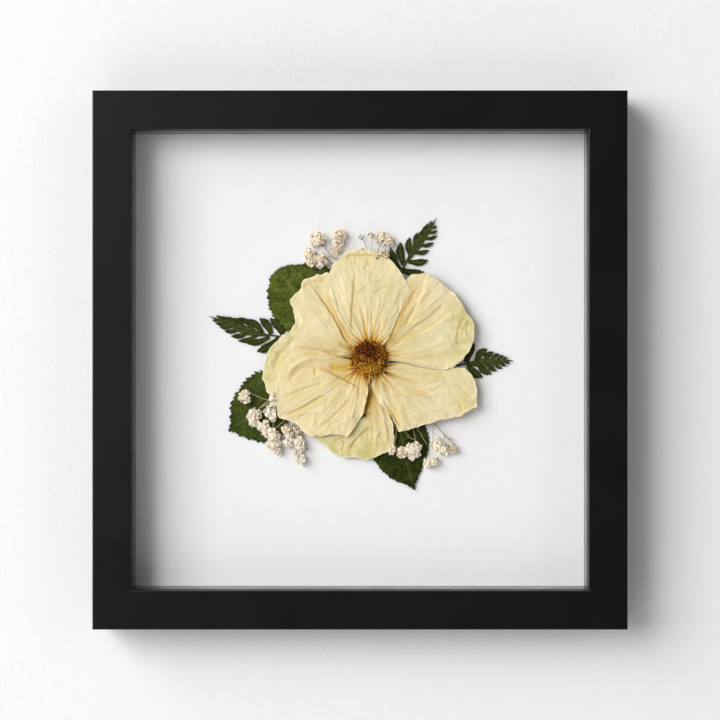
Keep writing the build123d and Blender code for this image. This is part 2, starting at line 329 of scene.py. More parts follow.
# ---------------------------------------------------------------- materials
class Skin:
    """A material's Principled shader, with short ways to make the nodes that feed it."""

    def __init__(self, name):
        self.material = bpy.data.materials.new(name)
        self.material.use_nodes = True
        self.tree = self.material.node_tree
        self.shader = self.tree.nodes["Principled BSDF"]

    @cached_property
    def where(self):
        """Where a point is on the object, in metres."""
        return self.make("ShaderNodeTexCoord").outputs["Object"]

    def put(self, value, socket):
        """Links an output to a socket, or sets the socket to a constant."""
        if hasattr(value, "is_output"):
            self.tree.links.new(value, socket)
        else:
            socket.default_value = value

    def feed(self, node, **values):
        """Puts values in a node's inputs, by name."""
        for key, value in values.items():
            self.put(value, node.inputs[key.replace("_", " ")])

    def make(self, kind, **values):
        """Adds a node and feeds it."""
        node = self.tree.nodes.new(kind)
        self.feed(node, **values)
        return node

    def finish(self, **values):
        """Feeds the shader and gives the material."""
        self.feed(self.shader, **values)
        return self.material

    def noise(self, scale, detail=4.0, roughness=0.55, vector=None):
        """The factor of a noise texture, over the object in metres unless a vector is given."""
        place = self.where if vector is None else vector
        return self.make("ShaderNodeTexNoise", Vector=place, Scale=scale, Detail=detail,
                         Roughness=roughness).outputs["Fac"]

    def stretched(self, vector, scale):
        """A vector scaled by a different amount on each axis."""
        return self.make("ShaderNodeMapping", Vector=vector, Scale=scale).outputs["Vector"]

    def arithmetic(self, kind, first, second, clamp=False):
        """One math step."""
        node = self.make("ShaderNodeMath")
        node.operation = kind
        node.use_clamp = clamp
        self.put(first, node.inputs[0])
        self.put(second, node.inputs[1])
        return node.outputs[0]

    def spread(self, value, low, high, to_low=0.0, to_high=1.0):
        """A value moved from one range to another, and kept inside it."""
        return self.make("ShaderNodeMapRange", Value=value, From_Min=low, From_Max=high, To_Min=to_low,
                         To_Max=to_high).outputs["Result"]

    def blend(self, factor, first, second):
        """A mix of two colours."""
        node = self.make("ShaderNodeMix")
        node.data_type = "RGBA"
        self.put(factor, node.inputs["Factor"])
        for key, value in (("A", first), ("B", second)):
            socket = [s for s in node.inputs if s.name == key and s.type == "RGBA"][0]
            self.put((*value, 1.0) if isinstance(value, tuple) else value, socket)
        return [s for s in node.outputs if s.type == "RGBA"][0]

    def bump(self, height, distance, under=None):
        """A bumped normal, on top of another if there is one. distance is in millimetres."""
        node = self.make("ShaderNodeBump", Height=height, Distance=distance * MM, Strength=1.0)
        if under is not None:
            self.put(under, node.inputs["Normal"])
        return node.outputs["Normal"]

    def tint(self):
        """The four shares painted on the mesh, as the tint attribute's red, green, blue and alpha."""
        attribute = self.make("ShaderNodeAttribute")
        attribute.attribute_name = "tint"
        split = self.make("ShaderNodeSeparateColor", Color=attribute.outputs["Color"])
        return *split.outputs[:3], attribute.outputs["Alpha"]


def lacquer(name, along):
    """Satin black paint over fine wood grain along one axis, lighter along the front arrises as worn
    paint and a painted highlight, with bare wood on the back face."""
    skin = Skin(name)
    grain_scale = [260.0, 260.0, 260.0]
    grain_scale["xyz".index(along)] = 9.0
    grain = skin.noise(6.0, 5.0, 0.6, skin.stretched(skin.where, grain_scale))
    peel = skin.noise(900.0, 2.0)
    mottle = skin.noise(35.0, 3.0)
    paint = skin.blend(mottle, (0.0020, 0.0020, 0.0026), (0.0036, 0.0036, 0.0044))
    depth = skin.make("ShaderNodeSeparateXYZ", Vector=skin.where).outputs["Y"]
    front, back = (corner.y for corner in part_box("rail_top"))
    past_face = skin.spread(depth, front + 0.03 * MM, front + 0.15 * MM)
    before_side = skin.spread(depth, front + 0.85 * MM, front + 0.70 * MM)
    arris = skin.arithmetic("MULTIPLY", past_face, before_side)
    # Lighter paint along the arrises: worn edges, and a painted highlight along them.
    worn_and_highlit = skin.arithmetic("MULTIPLY", arris, skin.spread(skin.noise(90.0), 0.3, 0.6, 0.55, 1.0))
    paint = skin.blend(worn_and_highlit, paint, (0.030, 0.030, 0.032))
    on_back = skin.spread(depth, back - 0.25 * MM, back - 0.05 * MM)
    wood = skin.blend(grain, (0.27, 0.185, 0.115), (0.40, 0.30, 0.20))
    overspray = skin.arithmetic("MULTIPLY", skin.spread(mottle, 0.50, 0.74), skin.spread(peel, 0.3, 0.6))
    wood = skin.blend(overspray, wood, (0.06, 0.05, 0.042))
    bare_roughness = skin.arithmetic("MULTIPLY", on_back, 0.35)
    return skin.finish(
        Base_Color=skin.blend(on_back, paint, wood),
        Roughness=skin.arithmetic("ADD", skin.spread(mottle, 0.3, 0.7, 0.33, 0.40), bare_roughness),
        Specular_IOR_Level=0.18,
        Normal=skin.bump(peel, 0.006, under=skin.bump(grain, 0.03)),
    )


def spacer_paint():
    """Satin black inner strip."""
    skin = Skin("spacer_paint")
    cloud = skin.noise(60.0, 3.0)
    return skin.finish(
        Base_Color=skin.blend(cloud, (0.030, 0.030, 0.030), (0.046, 0.046, 0.046)),
        Roughness=skin.spread(cloud, 0.3, 0.7, 0.20, 0.28),
        Specular_IOR_Level=0.6,
        Normal=skin.bump(skin.noise(700.0, 2.0), 0.01),
    )


def clear_glass():
    """Thin clear pane that shows mostly as gloss."""
    return Skin("clear_glass").finish(
        Base_Color=(0.004, 0.006, 0.005, 1), Roughness=0.02, IOR=1.9, Alpha=0.035,
    )


def cotton_paper():
    """White cold-press paper with its soft felt-side dimples."""
    skin = Skin("cotton_paper")
    dimple = skin.noise(620.0, 3.0, 0.6)
    broad = skin.noise(240.0, 2.0)
    return skin.finish(
        Base_Color=skin.blend(broad, (0.92, 0.923, 0.93), (0.945, 0.947, 0.95)),
        Roughness=0.92,
        Specular_IOR_Level=0.2,
        Normal=skin.bump(dimple, 0.14, under=skin.bump(broad, 0.14)),
    )


def mount_core():
    """Off-white pulp board."""
    skin = Skin("mount_core")
    fibre = skin.noise(500.0)
    return skin.finish(
        Base_Color=skin.blend(fibre, (0.72, 0.70, 0.65), (0.82, 0.80, 0.75)),
        Roughness=0.9,
        Normal=skin.bump(fibre, 0.03),
    )


def hardboard():
    """Brown pressed fibre with darker flecks."""
    skin = Skin("hardboard")
    fibre = skin.noise(420.0, 6.0, 0.7, skin.stretched(skin.where, (1.0, 1.0, 0.55)))
    cloud = skin.noise(22.0, 3.0)
    tone = skin.blend(fibre, (0.16, 0.085, 0.042), (0.36, 0.225, 0.125))
    tone = skin.blend(skin.spread(cloud, 0.35, 0.7, 0.0, 0.45), tone, (0.29, 0.19, 0.115))
    fleck = skin.spread(skin.noise(900.0, 2.0), 0.66, 0.72)
    return skin.finish(
        Base_Color=skin.blend(fleck, tone, (0.07, 0.035, 0.018)),
        Roughness=skin.spread(cloud, 0.3, 0.7, 0.52, 0.68),
        Normal=skin.bump(fibre, 0.05),
    )


def plated_metal(name, dark, light, rough):
    """Plated steel with rolling marks and a little dullness."""
    skin = Skin(name)
    marks = skin.noise(260.0, 4.0, 0.6, skin.stretched(skin.where, (1.0, 1.0, 12.0)))
    return skin.finish(
        Base_Color=skin.blend(skin.noise(140.0, 3.0), dark, light),
        Metallic=1.0,
        Roughness=skin.spread(marks, 0.3, 0.7, rough - 0.07, rough + 0.09),
        Normal=skin.bump(marks, 0.012),
    )


def bumper_rubber():
    """Dark grey rubber with a dusty bloom."""
    skin = Skin("bumper_rubber")
    bloom = skin.noise(260.0)
    return skin.finish(
        Base_Color=skin.blend(bloom, (0.035, 0.035, 0.037), (0.085, 0.083, 0.08)),
        Roughness=skin.spread(bloom, 0.3, 0.7, 0.6, 0.8),
        Normal=skin.bump(bloom, 0.03),
    )


def petal_skin(name, low, high, light, shade):
    """Papery petal between two tones. Tint: gold at the base as its own colour and in folds as
    painted shade, green at margins, brown spots; its alpha is the pale rim, a dry edge with a painted
    highlight."""
    skin = Skin(name)
    gold, green, brown, pale = skin.tint()
    grain = skin.make("ShaderNodeUVMap")
    grain.uv_map = "grain"
    grain = grain.outputs["UV"]
    vein = skin.noise(1.0, 4.0, 0.6, skin.stretched(grain, (1.1, 0.06, 1.0)))
    fine_vein = skin.noise(1.0, 3.0, 0.6, skin.stretched(grain, (3.4, 0.14, 1.0)))
    cloud = skin.noise(60.0)
    blush = skin.noise(33.0, 2.0)
    crepe = skin.noise(520.0, 5.0, 0.68)
    warm = skin.arithmetic("MULTIPLY", gold, skin.spread(vein, 0.2, 0.8, 1.2, 0.8), clamp=True)
    tone = skin.blend(skin.spread(cloud, 0.32, 0.68), low, high)
    for share, colour in (
        (skin.spread(blush, 0.50, 0.66, 0.0, 0.6), light),
        (skin.spread(blush, 0.50, 0.34, 0.0, 0.5), shade),
        (skin.spread(vein, 0.52, 0.28, 0.0, 0.32), (0.78, 0.585, 0.22)),
        (skin.spread(fine_vein, 0.50, 0.30, 0.0, 0.26), (0.76, 0.58, 0.24)),
        (skin.spread(crepe, 0.50, 0.30, 0.0, 0.22), (0.74, 0.57, 0.24)),
        (green, (0.60, 0.555, 0.185)),
        # Gold: the petal's own golden base, and painted shade in its folds and pleat valleys.
        (skin.spread(warm, 0.0, 0.55), (0.72, 0.455, 0.085)),
        (skin.spread(warm, 0.55, 1.0), (0.44, 0.125, 0.006)),
        # Pale rim: a dry edge and a painted highlight.
        (pale, (0.96, 0.89, 0.66)),
        (brown, (0.12, 0.03, 0.006)),
    ):
        tone = skin.blend(share, tone, colour)
    relief = skin.bump(fine_vein, 0.16, under=skin.bump(vein, 0.40))
    return skin.finish(
        Base_Color=tone,
        Roughness=skin.spread(cloud, 0.3, 0.7, 0.50, 0.64),
        Specular_IOR_Level=0.08,
        Normal=skin.bump(crepe, 0.16, under=relief),
    )


def stamen_skin():
    """Stamens. Tint: red for dark maroon, green for gold, blue for yellow, the rest orange brown."""
    skin = Skin("stamen_skin")
    dark, gold, light, _ = skin.tint()
    cloud = skin.noise(1400.0, 3.0)
    tone = skin.blend(cloud, (0.32, 0.066, 0.006), (0.48, 0.145, 0.010))
    tone = skin.blend(gold, tone, (0.66, 0.33, 0.020))
    tone = skin.blend(light, tone, (0.86, 0.55, 0.09))
    return skin.finish(
        Base_Color=skin.blend(dark, tone, (0.055, 0.008, 0.003)),
        Roughness=0.6,
        Specular_IOR_Level=0.1,
        Normal=skin.bump(cloud, 0.08),
    )


def leaf_skin(name, dark, light, vein_colour):
    """Dried leaf. Tint: red is the vein, green is lighter blotches, blue is the dark edge."""
    skin = Skin(name)
    vein, blotch, edge, _ = skin.tint()
    cloud = skin.noise(210.0, 5.0, 0.65)
    pebble = skin.noise(760.0, 3.0, 0.6)
    net = skin.make("ShaderNodeTexVoronoi", Scale=700.0, Vector=skin.where)
    net.feature = "DISTANCE_TO_EDGE"
    cells = skin.spread(net.outputs["Distance"], 0.0, 0.20)
    tone = skin.blend(skin.spread(cloud, 0.34, 0.66), dark, light)
    for share, colour in (
        (blotch, vein_colour),
        (skin.spread(pebble, 0.52, 0.38, 0.0, 0.65), dark),
        (skin.spread(cells, 0.0, 1.0, 0.55, 0.0), dark),
        (skin.spread(pebble, 0.56, 0.68, 0.0, 0.45), vein_colour),
        (skin.arithmetic("MULTIPLY", vein, 0.6), vein_colour),
        (edge, (0.035, 0.026, 0.008)),
    ):
        tone = skin.blend(share, tone, colour)
    relief = skin.bump(pebble, 0.40, under=skin.bump(cloud, 0.45))
    return skin.finish(
        Base_Color=tone,
        Roughness=skin.spread(cloud, 0.3, 0.7, 0.5, 0.68),
        Specular_IOR_Level=0.03,
        Normal=skin.bump(cells, 0.14, under=relief),
    )


def blossom_skin():
    """Dried baby's breath. Tint: red is brown, green is peach, partly painted shade in the florets'
    hollows, blue is the stem's tan.
    """
    skin = Skin("blossom_skin")
    brown, peach, stem, _ = skin.tint()
    cloud = skin.noise(900.0)
    tone = skin.blend(skin.spread(cloud, 0.3, 0.7), (0.965, 0.87, 0.70), (0.985, 0.93, 0.80))
    tone = skin.blend(peach, tone, (0.93, 0.74, 0.50))
    tone = skin.blend(stem, tone, (0.36, 0.27, 0.11))
    return skin.finish(
        Base_Color=skin.blend(brown, tone, (0.10, 0.05, 0.02)),
        Roughness=0.8,
        Specular_IOR_Level=0.1,
        Normal=skin.bump(cloud, 0.08),
    )


def wall_paint():
    """Stage: finely rolled white wall, seen only from its front."""
    skin = Skin("wall_paint")
    material = skin.finish(
        Base_Color=skin.blend(skin.noise(30.0), (0.818, 0.820, 0.826), (0.836, 0.836, 0.840)),
        Roughness=0.9,
        Normal=skin.bump(skin.noise(380.0, 4.0, 0.6), 0.24),
    )
    mix = skin.make("ShaderNodeMixShader", Fac=skin.make("ShaderNodeNewGeometry").outputs["Backfacing"])
    skin.put(skin.shader.outputs["BSDF"], mix.inputs[1])
    skin.put(skin.make("ShaderNodeBsdfTransparent").outputs["BSDF"], mix.inputs[2])
    skin.put(mix.outputs["Shader"], skin.tree.nodes["Material Output"].inputs["Surface"])
    return material


def floor_paint():
    """Stage: pale matte floor."""
    skin = Skin("floor_paint")
    return skin.finish(
        Base_Color=skin.blend(skin.noise(8.0), (0.62, 0.62, 0.62), (0.66, 0.66, 0.66)), Roughness=0.85,
    )


# ---------------------------------------------------------------- stage
def add_plane(name, corners, material):
    """A flat stage surface."""
    data = bpy.data.meshes.new(name)
    data.from_pydata(corners, [], [(0, 1, 2, 3)])
    data.materials.append(material)
    surface = bpy.data.objects.new(name, data)
    bpy.context.collection.objects.link(surface)
    return surface


def add_stage():
    """The wall that the frame hangs on, and a floor well below."""
    half, low, high, reach = 2.0, -1.3, 1.7, 6
    wall = add_plane("wall", [
        (-half, wall_y, low), (half, wall_y, low), (half, wall_y, high), (-half, wall_y, high),
    ], wall_paint())
    wall.visible_shadow = False
    add_plane("floor", [
        (-reach, -reach, low), (reach, -reach, low), (reach, reach, low), (-reach, reach, low),
    ], floor_paint())


# ---------------------------------------------------------------- petals
FLOWER = (4.6, 0.6)
DISC_RADIUS = 8.0
DARK_MIDDLE = (3.6, 4.6)

# Each petal: mid height, base point, outline, and creases. A crease is its line, the depth in
# millimetres of its groove (or height of its ridge), its width, how much its left side is raised
# over its right side, and how gold it is: painted shade in its groove and on its lower side. A crease
# with no depth only paints shade, such as along the edge of a petal lying over it. A slope is a line,
# its reach and the rise along it.
# green and brown are patches: middle, size and share. glow is the reach of the gold at its base.
PETALS = {}
PETALS["petal_upper_left"] = dict(
    height=3.3, base=(0, 3), dome=0.8, drop=0.3, glow=0.6, brown=[((-22.2, 37.2), 0.8, 0.45)],
    outline=[
        (2, 6), (-3, 10), (-8, 18), (-12, 28), (-13.5, 38), (-15, 43.5), (-17.5, 45), (-20, 43.7),
        (-22, 44), (-24, 42.8), (-28.4, 41.2), (-30, 38.4), (-31, 36), (-33, 33.8), (-35.8, 31),
        (-35.4, 28.5), (-34, 26), (-33.7, 22), (-33.8, 18.4), (-35.2, 16), (-38, 14), (-41, 11.4),
        (-44, 8.4), (-46.8, 5), (-47.6, 2), (-48.3, -1), (-49.6, -5), (-50, -9), (-48.6, -13),
        (-46.2, -17.4), (-38, -15), (-22, -7), (-6, -2),
    ],
    creases=[
        ([(-25.5, 38.8), (-23.4, 36.6), (-22, 34), (-19, 30), (-15.5, 25), (-12, 19), (-9, 13), (-5, 6)],
         -0.25, 0.45, -1.2, 0.5),
        ([(-30, 35), (-28.5, 39), (-24, 40.6), (-18, 41)], 0.35, 0.9, 0.4, 0.15),
        ([(-34, 27), (-30.6, 24), (-29.6, 19), (-33, 14)], 0.25, 1, 0.4, 0.1),
        ([(-46, -8), (-43, 0), (-37, 8), (-33, 12)], -0.4, 1.6, 0.5, 0.15),
        ([(-35, 10), (-30, 6), (-20, 4.5), (-8, 3.5)], -0.3, 1.6, 0, 0.3),
        ([(-28, 30), (-20, 17), (-10, 7)], 0.35, 2.6, 0, 0),
        ([(-30, 16), (-20, 10), (-8, 5)], -0.2, 0.8, 0.3, 0.1),
        # No groove: a painted shadow along the top petal's left edge.
        ([(-17, 38), (-15.6, 30), (-11.4, 21), (-6.4, 13), (-2, 6)], 0, 1.8, 0, 0.36),
    ],
    green=[
        ((-46, 2), 9, 0.75), ((-47, -8), 6, 0.55), ((-36, 14), 6, 0.5), ((-20, 41), 6, 0.25),
    ],
)
PETALS["petal_bottom"] = dict(
    height=3, base=(5, -6), dome=0.4, drop=0.5,
    brown=[((2.6, -28.4), 1, 0.8), ((4.6, -27.4), 0.7, 0.7), ((1, -29.4), 0.7, 0.5)],
    outline=[
        (6.5, -10), (3, -13), (0, -22), (-4, -31), (-10, -37), (-17, -38.5), (-23, -39.6), (-19.5, -43.2),
        (-15.5, -46.2), (-11, -48.9), (-7.5, -50.4), (-3, -50.2), (3, -50.9), (7, -50), (12, -47.8),
        (15.5, -46), (17.7, -42.5), (17.3, -38), (17, -33), (14, -27), (10.5, -21), (8.4, -14),
    ],
    creases=[
        ([(-6, -48), (-3.5, -42.5), (0.5, -38.5), (5.5, -34)], -0.3, 0.7, 0.7, 0.35),
        ([(5.2, -12), (4, -22), (-1, -30)], -0.8, 2.4, 0, 0.85),
        ([(9, -20), (12.4, -30), (14.5, -42)], 0.5, 1.2, -0.4, 0.1),
        ([(-17, -44), (-10, -40), (-2, -37)], -0.25, 0.9, 0.4, 0.2),
        ([(6, -28), (7, -38), (6, -47)], -0.25, 0.8, 0.3, 0.15),
        ([(-10, -47), (-8, -43), (-9, -40)], -0.25, 0.6, 0.3, 0.15),
        ([(10, -46), (9, -41), (11, -36)], -0.25, 0.6, 0.3, 0.15),
    ],
    green=[
        ((-12, -46), 9, 0.9), ((4, -48), 9, 0.8), ((14, -42), 7, 0.6), ((3, -38), 12, 0.5),
    ],
)
PETALS["petal_lower_right"] = dict(
    height=4.9, base=(8.6, -4.6), dome=0.8, drop=-0.3,
    slopes=[([(14, -1), (24, -1), (34, -3.4), (44, -4)], 3, -0.55)],
    green=[((56, -22), 6, 0.4), ((44, -8), 8, 0.25), ((30, -28), 8, 0.3)],
    outline=[
        (8, -1.6), (14, -1.9), (19, -1.7), (22.4, -0.9), (26, -1), (30, -2.2), (34, -3.4), (39, -4),
        (44, -3.8), (48, -4.2), (52, -4.2), (55.3, -5.6), (58, -9), (59.4, -13), (60, -17), (59.9, -21),
        (60, -23.4), (56, -25.8), (53, -27.8), (51, -28.8), (47, -29.8), (41, -31), (35, -32.5),
        (28, -34.6), (20.4, -36.9), (18.4, -33.4), (16.6, -29.8), (12.6, -24.4), (9.4, -20.8), (7.3, -16.4),
        (5.9, -12), (5.4, -7),
    ],
    creases=[
        ([(8.5, -20.6), (13, -19.2), (20, -18.5), (27, -18), (33, -18.2), (39, -18)], 0.4, 0.5, -1.2, 0.22),
        ([(20, -14), (27, -16.6), (33, -17), (37, -16.2), (42, -14.6)], -0.35, 0.9, 0, 0.18),
        ([(8, -18), (12, -22.6), (16.8, -29.6), (20.2, -35.8)], 0.55, 0.6, 0, 0),
        ([(14, -7), (22, -9.5), (32, -12.5)], -0.4, 1, 0.4, 0.3),
        ([(12, -10), (15, -16)], -0.4, 0.8, 0.3, 0.4),
        ([(18, -4), (30, -7), (45, -8)], -0.3, 1.4, 0, 0.2),
        ([(50.4, -20), (52, -24), (52.4, -27.6)], -0.35, 0.6, 0.4, 0.35),
        ([(20, -22), (23, -33)], 0.35, 1.4, 0, 0.15),
        ([(48, -10), (53, -15), (58, -20)], -0.3, 0.9, 0.4, 0.15),
        ([(12.5, -22), (17, -28), (21, -34.6)], -0.45, 1.2, 0, 0.4),
        ([(26, -12), (34, -14), (44, -12)], 0.2, 0.8, 0.2, 0.05),
    ],
)
PETALS["petal_lower_left"] = dict(
    height=5.1, base=(0.6, -3.2), dome=0.9, drop=0.2, glow=0.85, green=[((-40, -4), 5, 0.25)],
    outline=[
        (2.5, -0.6), (-4, 0.1), (-10, 1.4), (-14, 2.6), (-17, 3), (-21, 4.9), (-25, 5.3), (-30, 4.6),
        (-34, 3.1), (-37, 1.4), (-39.6, -1.2), (-41.4, -5), (-42, -9), (-43.4, -14), (-43, -18),
        (-42.6, -22), (-42.4, -26), (-41.4, -29.4), (-38, -31), (-35, -31.8), (-32, -33.8), (-29.4, -36.4),
        (-26, -38.5), (-21, -39.1), (-14, -38.2), (-9, -38.4), (-6, -38.7), (-3, -34.4), (0, -30),
        (2.1, -25), (3.5, -19), (4.4, -13), (4.9, -8.6),
    ],
    creases=[
        ([(1.5, -15.6), (-4, -12.2), (-8, -10.1), (-12, -8), (-16, -6), (-20, -5), (-23.5, -6.8)],
         -0.25, 0.6, 1.3, 0.34),
        ([(-38, -10), (-34.6, -4.6), (-29.5, -0.6), (-22, 0.8), (-14, -0.4)], 0.55, 1, 0.3, 0),
        ([(-37.5, -13), (-33.6, -7.4), (-28.4, -3.3), (-22, -2.3)], -0.4, 1.1, 0, 0.22),
        ([(-23.4, -2), (-22.2, -5), (-23, -8.6)], -0.3, 0.7, 0.5, 0.18),
        ([(-40, -29.6), (-33, -26), (-25, -21.6), (-17, -17.5)], -0.45, 0.7, 0.5, 0.36),
        ([(-41, -20), (-32, -16), (-18, -11)], -0.25, 0.9, 0.3, 0.14),
        ([(-22, -36), (-12, -27), (-3, -18)], -0.25, 0.9, 0.3, 0.16),
        ([(-36, -24), (-24, -17), (-12, -11.5)], 0.25, 1, 0, 0),
        ([(-17, -4), (-11, -4.4), (-4, -4.6)], -0.9, 2.2, 0, 0.52),
        ([(-34, -29), (-27, -27), (-19, -28)], 0.25, 0.7, 0.3, 0.05),
        ([(-14, -35), (-9, -32), (-2, -27)], 0.2, 0.8, 0.2, 0),
        ([(-31, 2.4), (-26, 3), (-20, 2.6)], -0.3, 0.6, 0, 0.2),
    ],
)
PETALS["petal_upper_right"] = dict(
    height=5.1, base=(9.6, 2.8), dome=0.8, drop=-0.2,
    green=[((54, 19), 8, 1), ((50, 8), 8, 0.6), ((53, 26), 4, 0.6), ((40, 4), 9, 0.3)],
    outline=[
        (8, 5.6), (12, 9), (14.5, 15), (16.5, 22), (18.5, 30), (20.5, 37), (23.4, 41), (25, 42.6),
        (27.4, 43.8), (31.5, 44), (33.6, 45), (37, 43), (41, 40), (45, 37), (49, 33), (52, 29.5),
        (54.2, 25), (57, 21.4), (58.6, 18.6), (58.4, 15), (58.7, 12), (57.6, 8.4), (56, 4.6), (53, 1),
        (50, -1.5), (47.4, -3.8), (43, -4.6), (40, -4.8), (37, -4.4), (33, -3.8), (29, -2.4), (25, -1.6),
        (19, -0.8), (13, 0.4),
    ],
    creases=[
        ([(13.5, 4.6), (18, 7.4), (22, 9.9), (27, 12.8), (33, 14.9), (38, 18), (43, 22), (47.5, 25.5)],
         -0.35, 0.5, -1.2, 0.3),
        ([(33.4, 44.5), (32.6, 38), (29, 28), (23, 16)], -0.3, 0.9, 0.6, 0.16),
        ([(20, 18), (27, 27), (36, 37)], 0.3, 1.4, 0, 0),
        # No groove: a painted shadow along the top petal's right edge.
        ([(25, 44), (26.4, 35), (23.4, 28), (19.4, 19), (15.4, 10), (12, 5)], 0, 2.6, 0, 0.36),
        ([(24, 14.5), (34, 21), (44, 30)], -0.25, 0.8, 0.3, 0.18),
        ([(28, 20), (36, 28), (44, 35)], 0.2, 0.7, 0.2, 0),
        ([(20, 3), (34, 6), (48, 12)], 0.35, 2, 0, 0),
        ([(20, 0.5), (34, 1.5), (48, 5)], -0.2, 1.2, 0.2, 0.14),
        ([(49.6, 5), (49.4, 12), (51, 18), (53, 24)], -0.25, 0.6, 0.4, 0.16),
        ([(55, 12), (54.5, 18), (56, 21)], -0.25, 0.5, 0.4, 0.14),
        ([(51, 17), (54, 16), (57, 17)], -0.25, 0.5, -0.3, 0.14),
        ([(50, 10), (53, 8.6), (56, 9)], -0.2, 0.5, 0.3, 0.12),
    ],
    slopes=[
        ([(24, 38), (21, 27), (17, 16), (13, 9)], 3.6, 0.55),
        ([(16, -0.4), (26, -1.4), (34, -3.8), (44, -4.6)], 2.6, 0.35),
    ],
)
PETALS["petal_top"] = dict(
    height=6.8, base=(4.2, 5.2), dome=0.6, drop=0.7,
    slopes=[([(25, 37), (21.6, 27), (17, 16), (12, 8)], 4, -0.45)],
    green=[((-6, 50), 8, 0.25), ((9, 49), 8, 0.1), ((17, 34), 9, 0.25)],
    brown=[((1.5, 56.6), 0.9, 0.55), ((9.5, 53.6), 1.1, 0.5), ((-6.4, 52.6), 0.8, 0.3)],
    outline=[
        (4, 3), (-0.6, 7), (-4.6, 12), (-7.6, 17), (-10.6, 22), (-13.2, 27), (-15.4, 32), (-16.6, 37),
        (-16.4, 42), (-15, 46), (-13, 49.8), (-10, 53), (-6.5, 55.4), (-2, 56.8), (1, 57.3), (5, 56.2),
        (9, 55.2), (13, 53.4), (17, 50), (20, 46), (22.4, 42), (24.4, 38), (25.2, 34.6), (23.4, 31),
        (21, 26), (18.6, 21), (17, 16.4), (15, 12), (12, 8), (9, 5),
    ],
    creases=[
        ([(-2.6, 48), (-3.4, 38), (-4, 28), (-4.6, 20), (-4.4, 12)], -0.08, 0.8, -0.5, 0.26),
        ([(-2.2, 32.6), (0.6, 35.6), (5, 39.2)], -0.12, 0.6, 0.3, 0.1),
        ([(0.4, 30), (2.2, 21), (3.4, 12)], -0.45, 0.6, 0.3, 0.22),
        ([(6.4, 26), (6.6, 16), (5.8, 10)], -0.35, 0.6, 0.3, 0.18),
        ([(11, 22), (10, 15), (8, 10)], -0.3, 0.7, 0.3, 0.16),
        ([(-15.2, 42), (-13.4, 31), (-9, 20), (-3, 10)], 0.45, 0.8, 0, 0),
        ([(-11, 44), (-9.6, 32), (-6, 20)], -0.15, 1.2, 0, 0.06),
        ([(18, 44), (19.5, 36), (16, 24)], 0.3, 1.6, 0, 0),
        ([(-9, 51.6), (-4, 53.4), (3, 53.8), (9, 52.6)], -0.55, 0.6, 0.6, 0.28),
        ([(1, 46), (4, 49), (3, 53)], -0.25, 0.6, 0.3, 0.12),
        ([(6, 33), (12, 37), (19, 37)], -0.22, 0.7, 0.3, 0.1),
    ],
)


def crease_shape(points, crease):
    """The height that one crease adds, and its gold share: painted shade along it and spilling onto its
    lower side.
    """
    line, depth, width, lift, gold = crease
    distance, along = line_distance(points, line)
    fade = smoothstep(0, 0.28, along) * smoothstep(1, 0.82, along)
    distance = distance + 0.5 * wrinkle(points[:, 0] * 0.35, points[:, 1] * 0.35, len(line), 2)
    near = np.exp(-(distance / width) ** 2)
    wall = np.tanh(distance / (0.45 * width))
    height = depth * near + 0.5 * lift * wall * np.exp(-np.abs(distance) / 6.0)
    low_side = smoothstep(0.6, -0.6, distance * np.sign(lift)) if lift else 1.0
    # Painted shade spills onto the lower side of the step.
    shade_spill = np.exp(-np.abs(distance) / (2.2 * width))
    return height * fade, gold * np.maximum(near, 0.75 * shade_spill * low_side) * fade


def patches(points, spots, seed):
    """The strongest of several soft, mottled patches."""
    u, v = points.T
    share = np.zeros(len(points))
    for (middle_u, middle_v), size, amount in spots:
        patch = np.exp(-((u - middle_u) ** 2 + (v - middle_v) ** 2) / size**2)
        share = np.maximum(share, amount * patch * (0.75 + 1.1 * wrinkle(u * 0.35, v * 0.35, seed)))
    return np.clip(share, 0, 1)


def petal_surface(points, spec, edge_gap, angle, seed):
    """Height off the paper and tint over one petal."""
    reach = np.linalg.norm(points - np.array(spec["base"]), axis=1)
    share = reach / reach.max()
    height = spec["height"] + spec["dome"] * np.sin(np.pi * share) - spec["drop"] * share**2
    gold = np.zeros(len(points))
    # Creases add height, and gold as painted shade.
    for crease in spec["creases"]:
        rise, warm = crease_shape(points, crease)
        height += rise
        gold = np.maximum(gold, warm)
    for line, width, rise in spec.get("slopes", []):
        height += rise * np.exp(-(line_distance(points, line)[0] / width) ** 2)
    u, v = points.T
    ray = wrinkle(angle * 6.0, reach * 0.05, seed, 4)
    height += 0.50 * ray * smoothstep(3, 14, reach)
    height += 0.34 * wrinkle(u * 0.16, v * 0.16, seed + 5, 5)
    pleats = np.abs(wrinkle(u * 0.22 + 2 * ray, v * 0.22, seed + 31, 4))
    height += 0.42 * pleats
    margin = np.exp(-(edge_gap / 3.0) ** 2)
    height += 0.9 * margin * wrinkle(u * 0.20, v * 0.20, seed + 9, 3)
    lip = np.exp(-(edge_gap / 0.55) ** 2)
    height += 0.30 * lip * smoothstep(-0.15, 0.35, wrinkle(u * 0.12, v * 0.12, seed + 40, 2))
    from_flower = np.hypot(u - FLOWER[0], v - FLOWER[1])
    streak = 0.5 + wrinkle(angle * 11.0, reach * 0.03, seed + 2, 3)
    past_disc = np.maximum(from_flower - DISC_RADIUS, 0)
    core = np.exp(-(past_disc / (spec.get("glow", 1.0) * (1.8 + 7.0 * streak**2))) ** 1.2)
    gold = np.maximum(gold * 0.9, core)
    # Gold streaks from the base are the petal's own colour; the pleat term is painted shade in the pleats'
    # valleys.
    gold += 0.34 * streak * np.exp(-past_disc / 9.0) + 0.5 * np.maximum(0.09 - pleats, 0)
    gold = np.clip(gold, 0, 1)
    brown = patches(points, spec.get("brown", []), seed)
    # The pale rim: a dry edge, and a painted highlight along the margin.
    pale = 0.75 * lip * smoothstep(-0.35, 0.1, wrinkle(u * 0.15, v * 0.15, seed + 50, 2))
    green = patches(points, spec["green"], seed + 4)
    return height, np.stack([gold, green, brown, pale], 1)


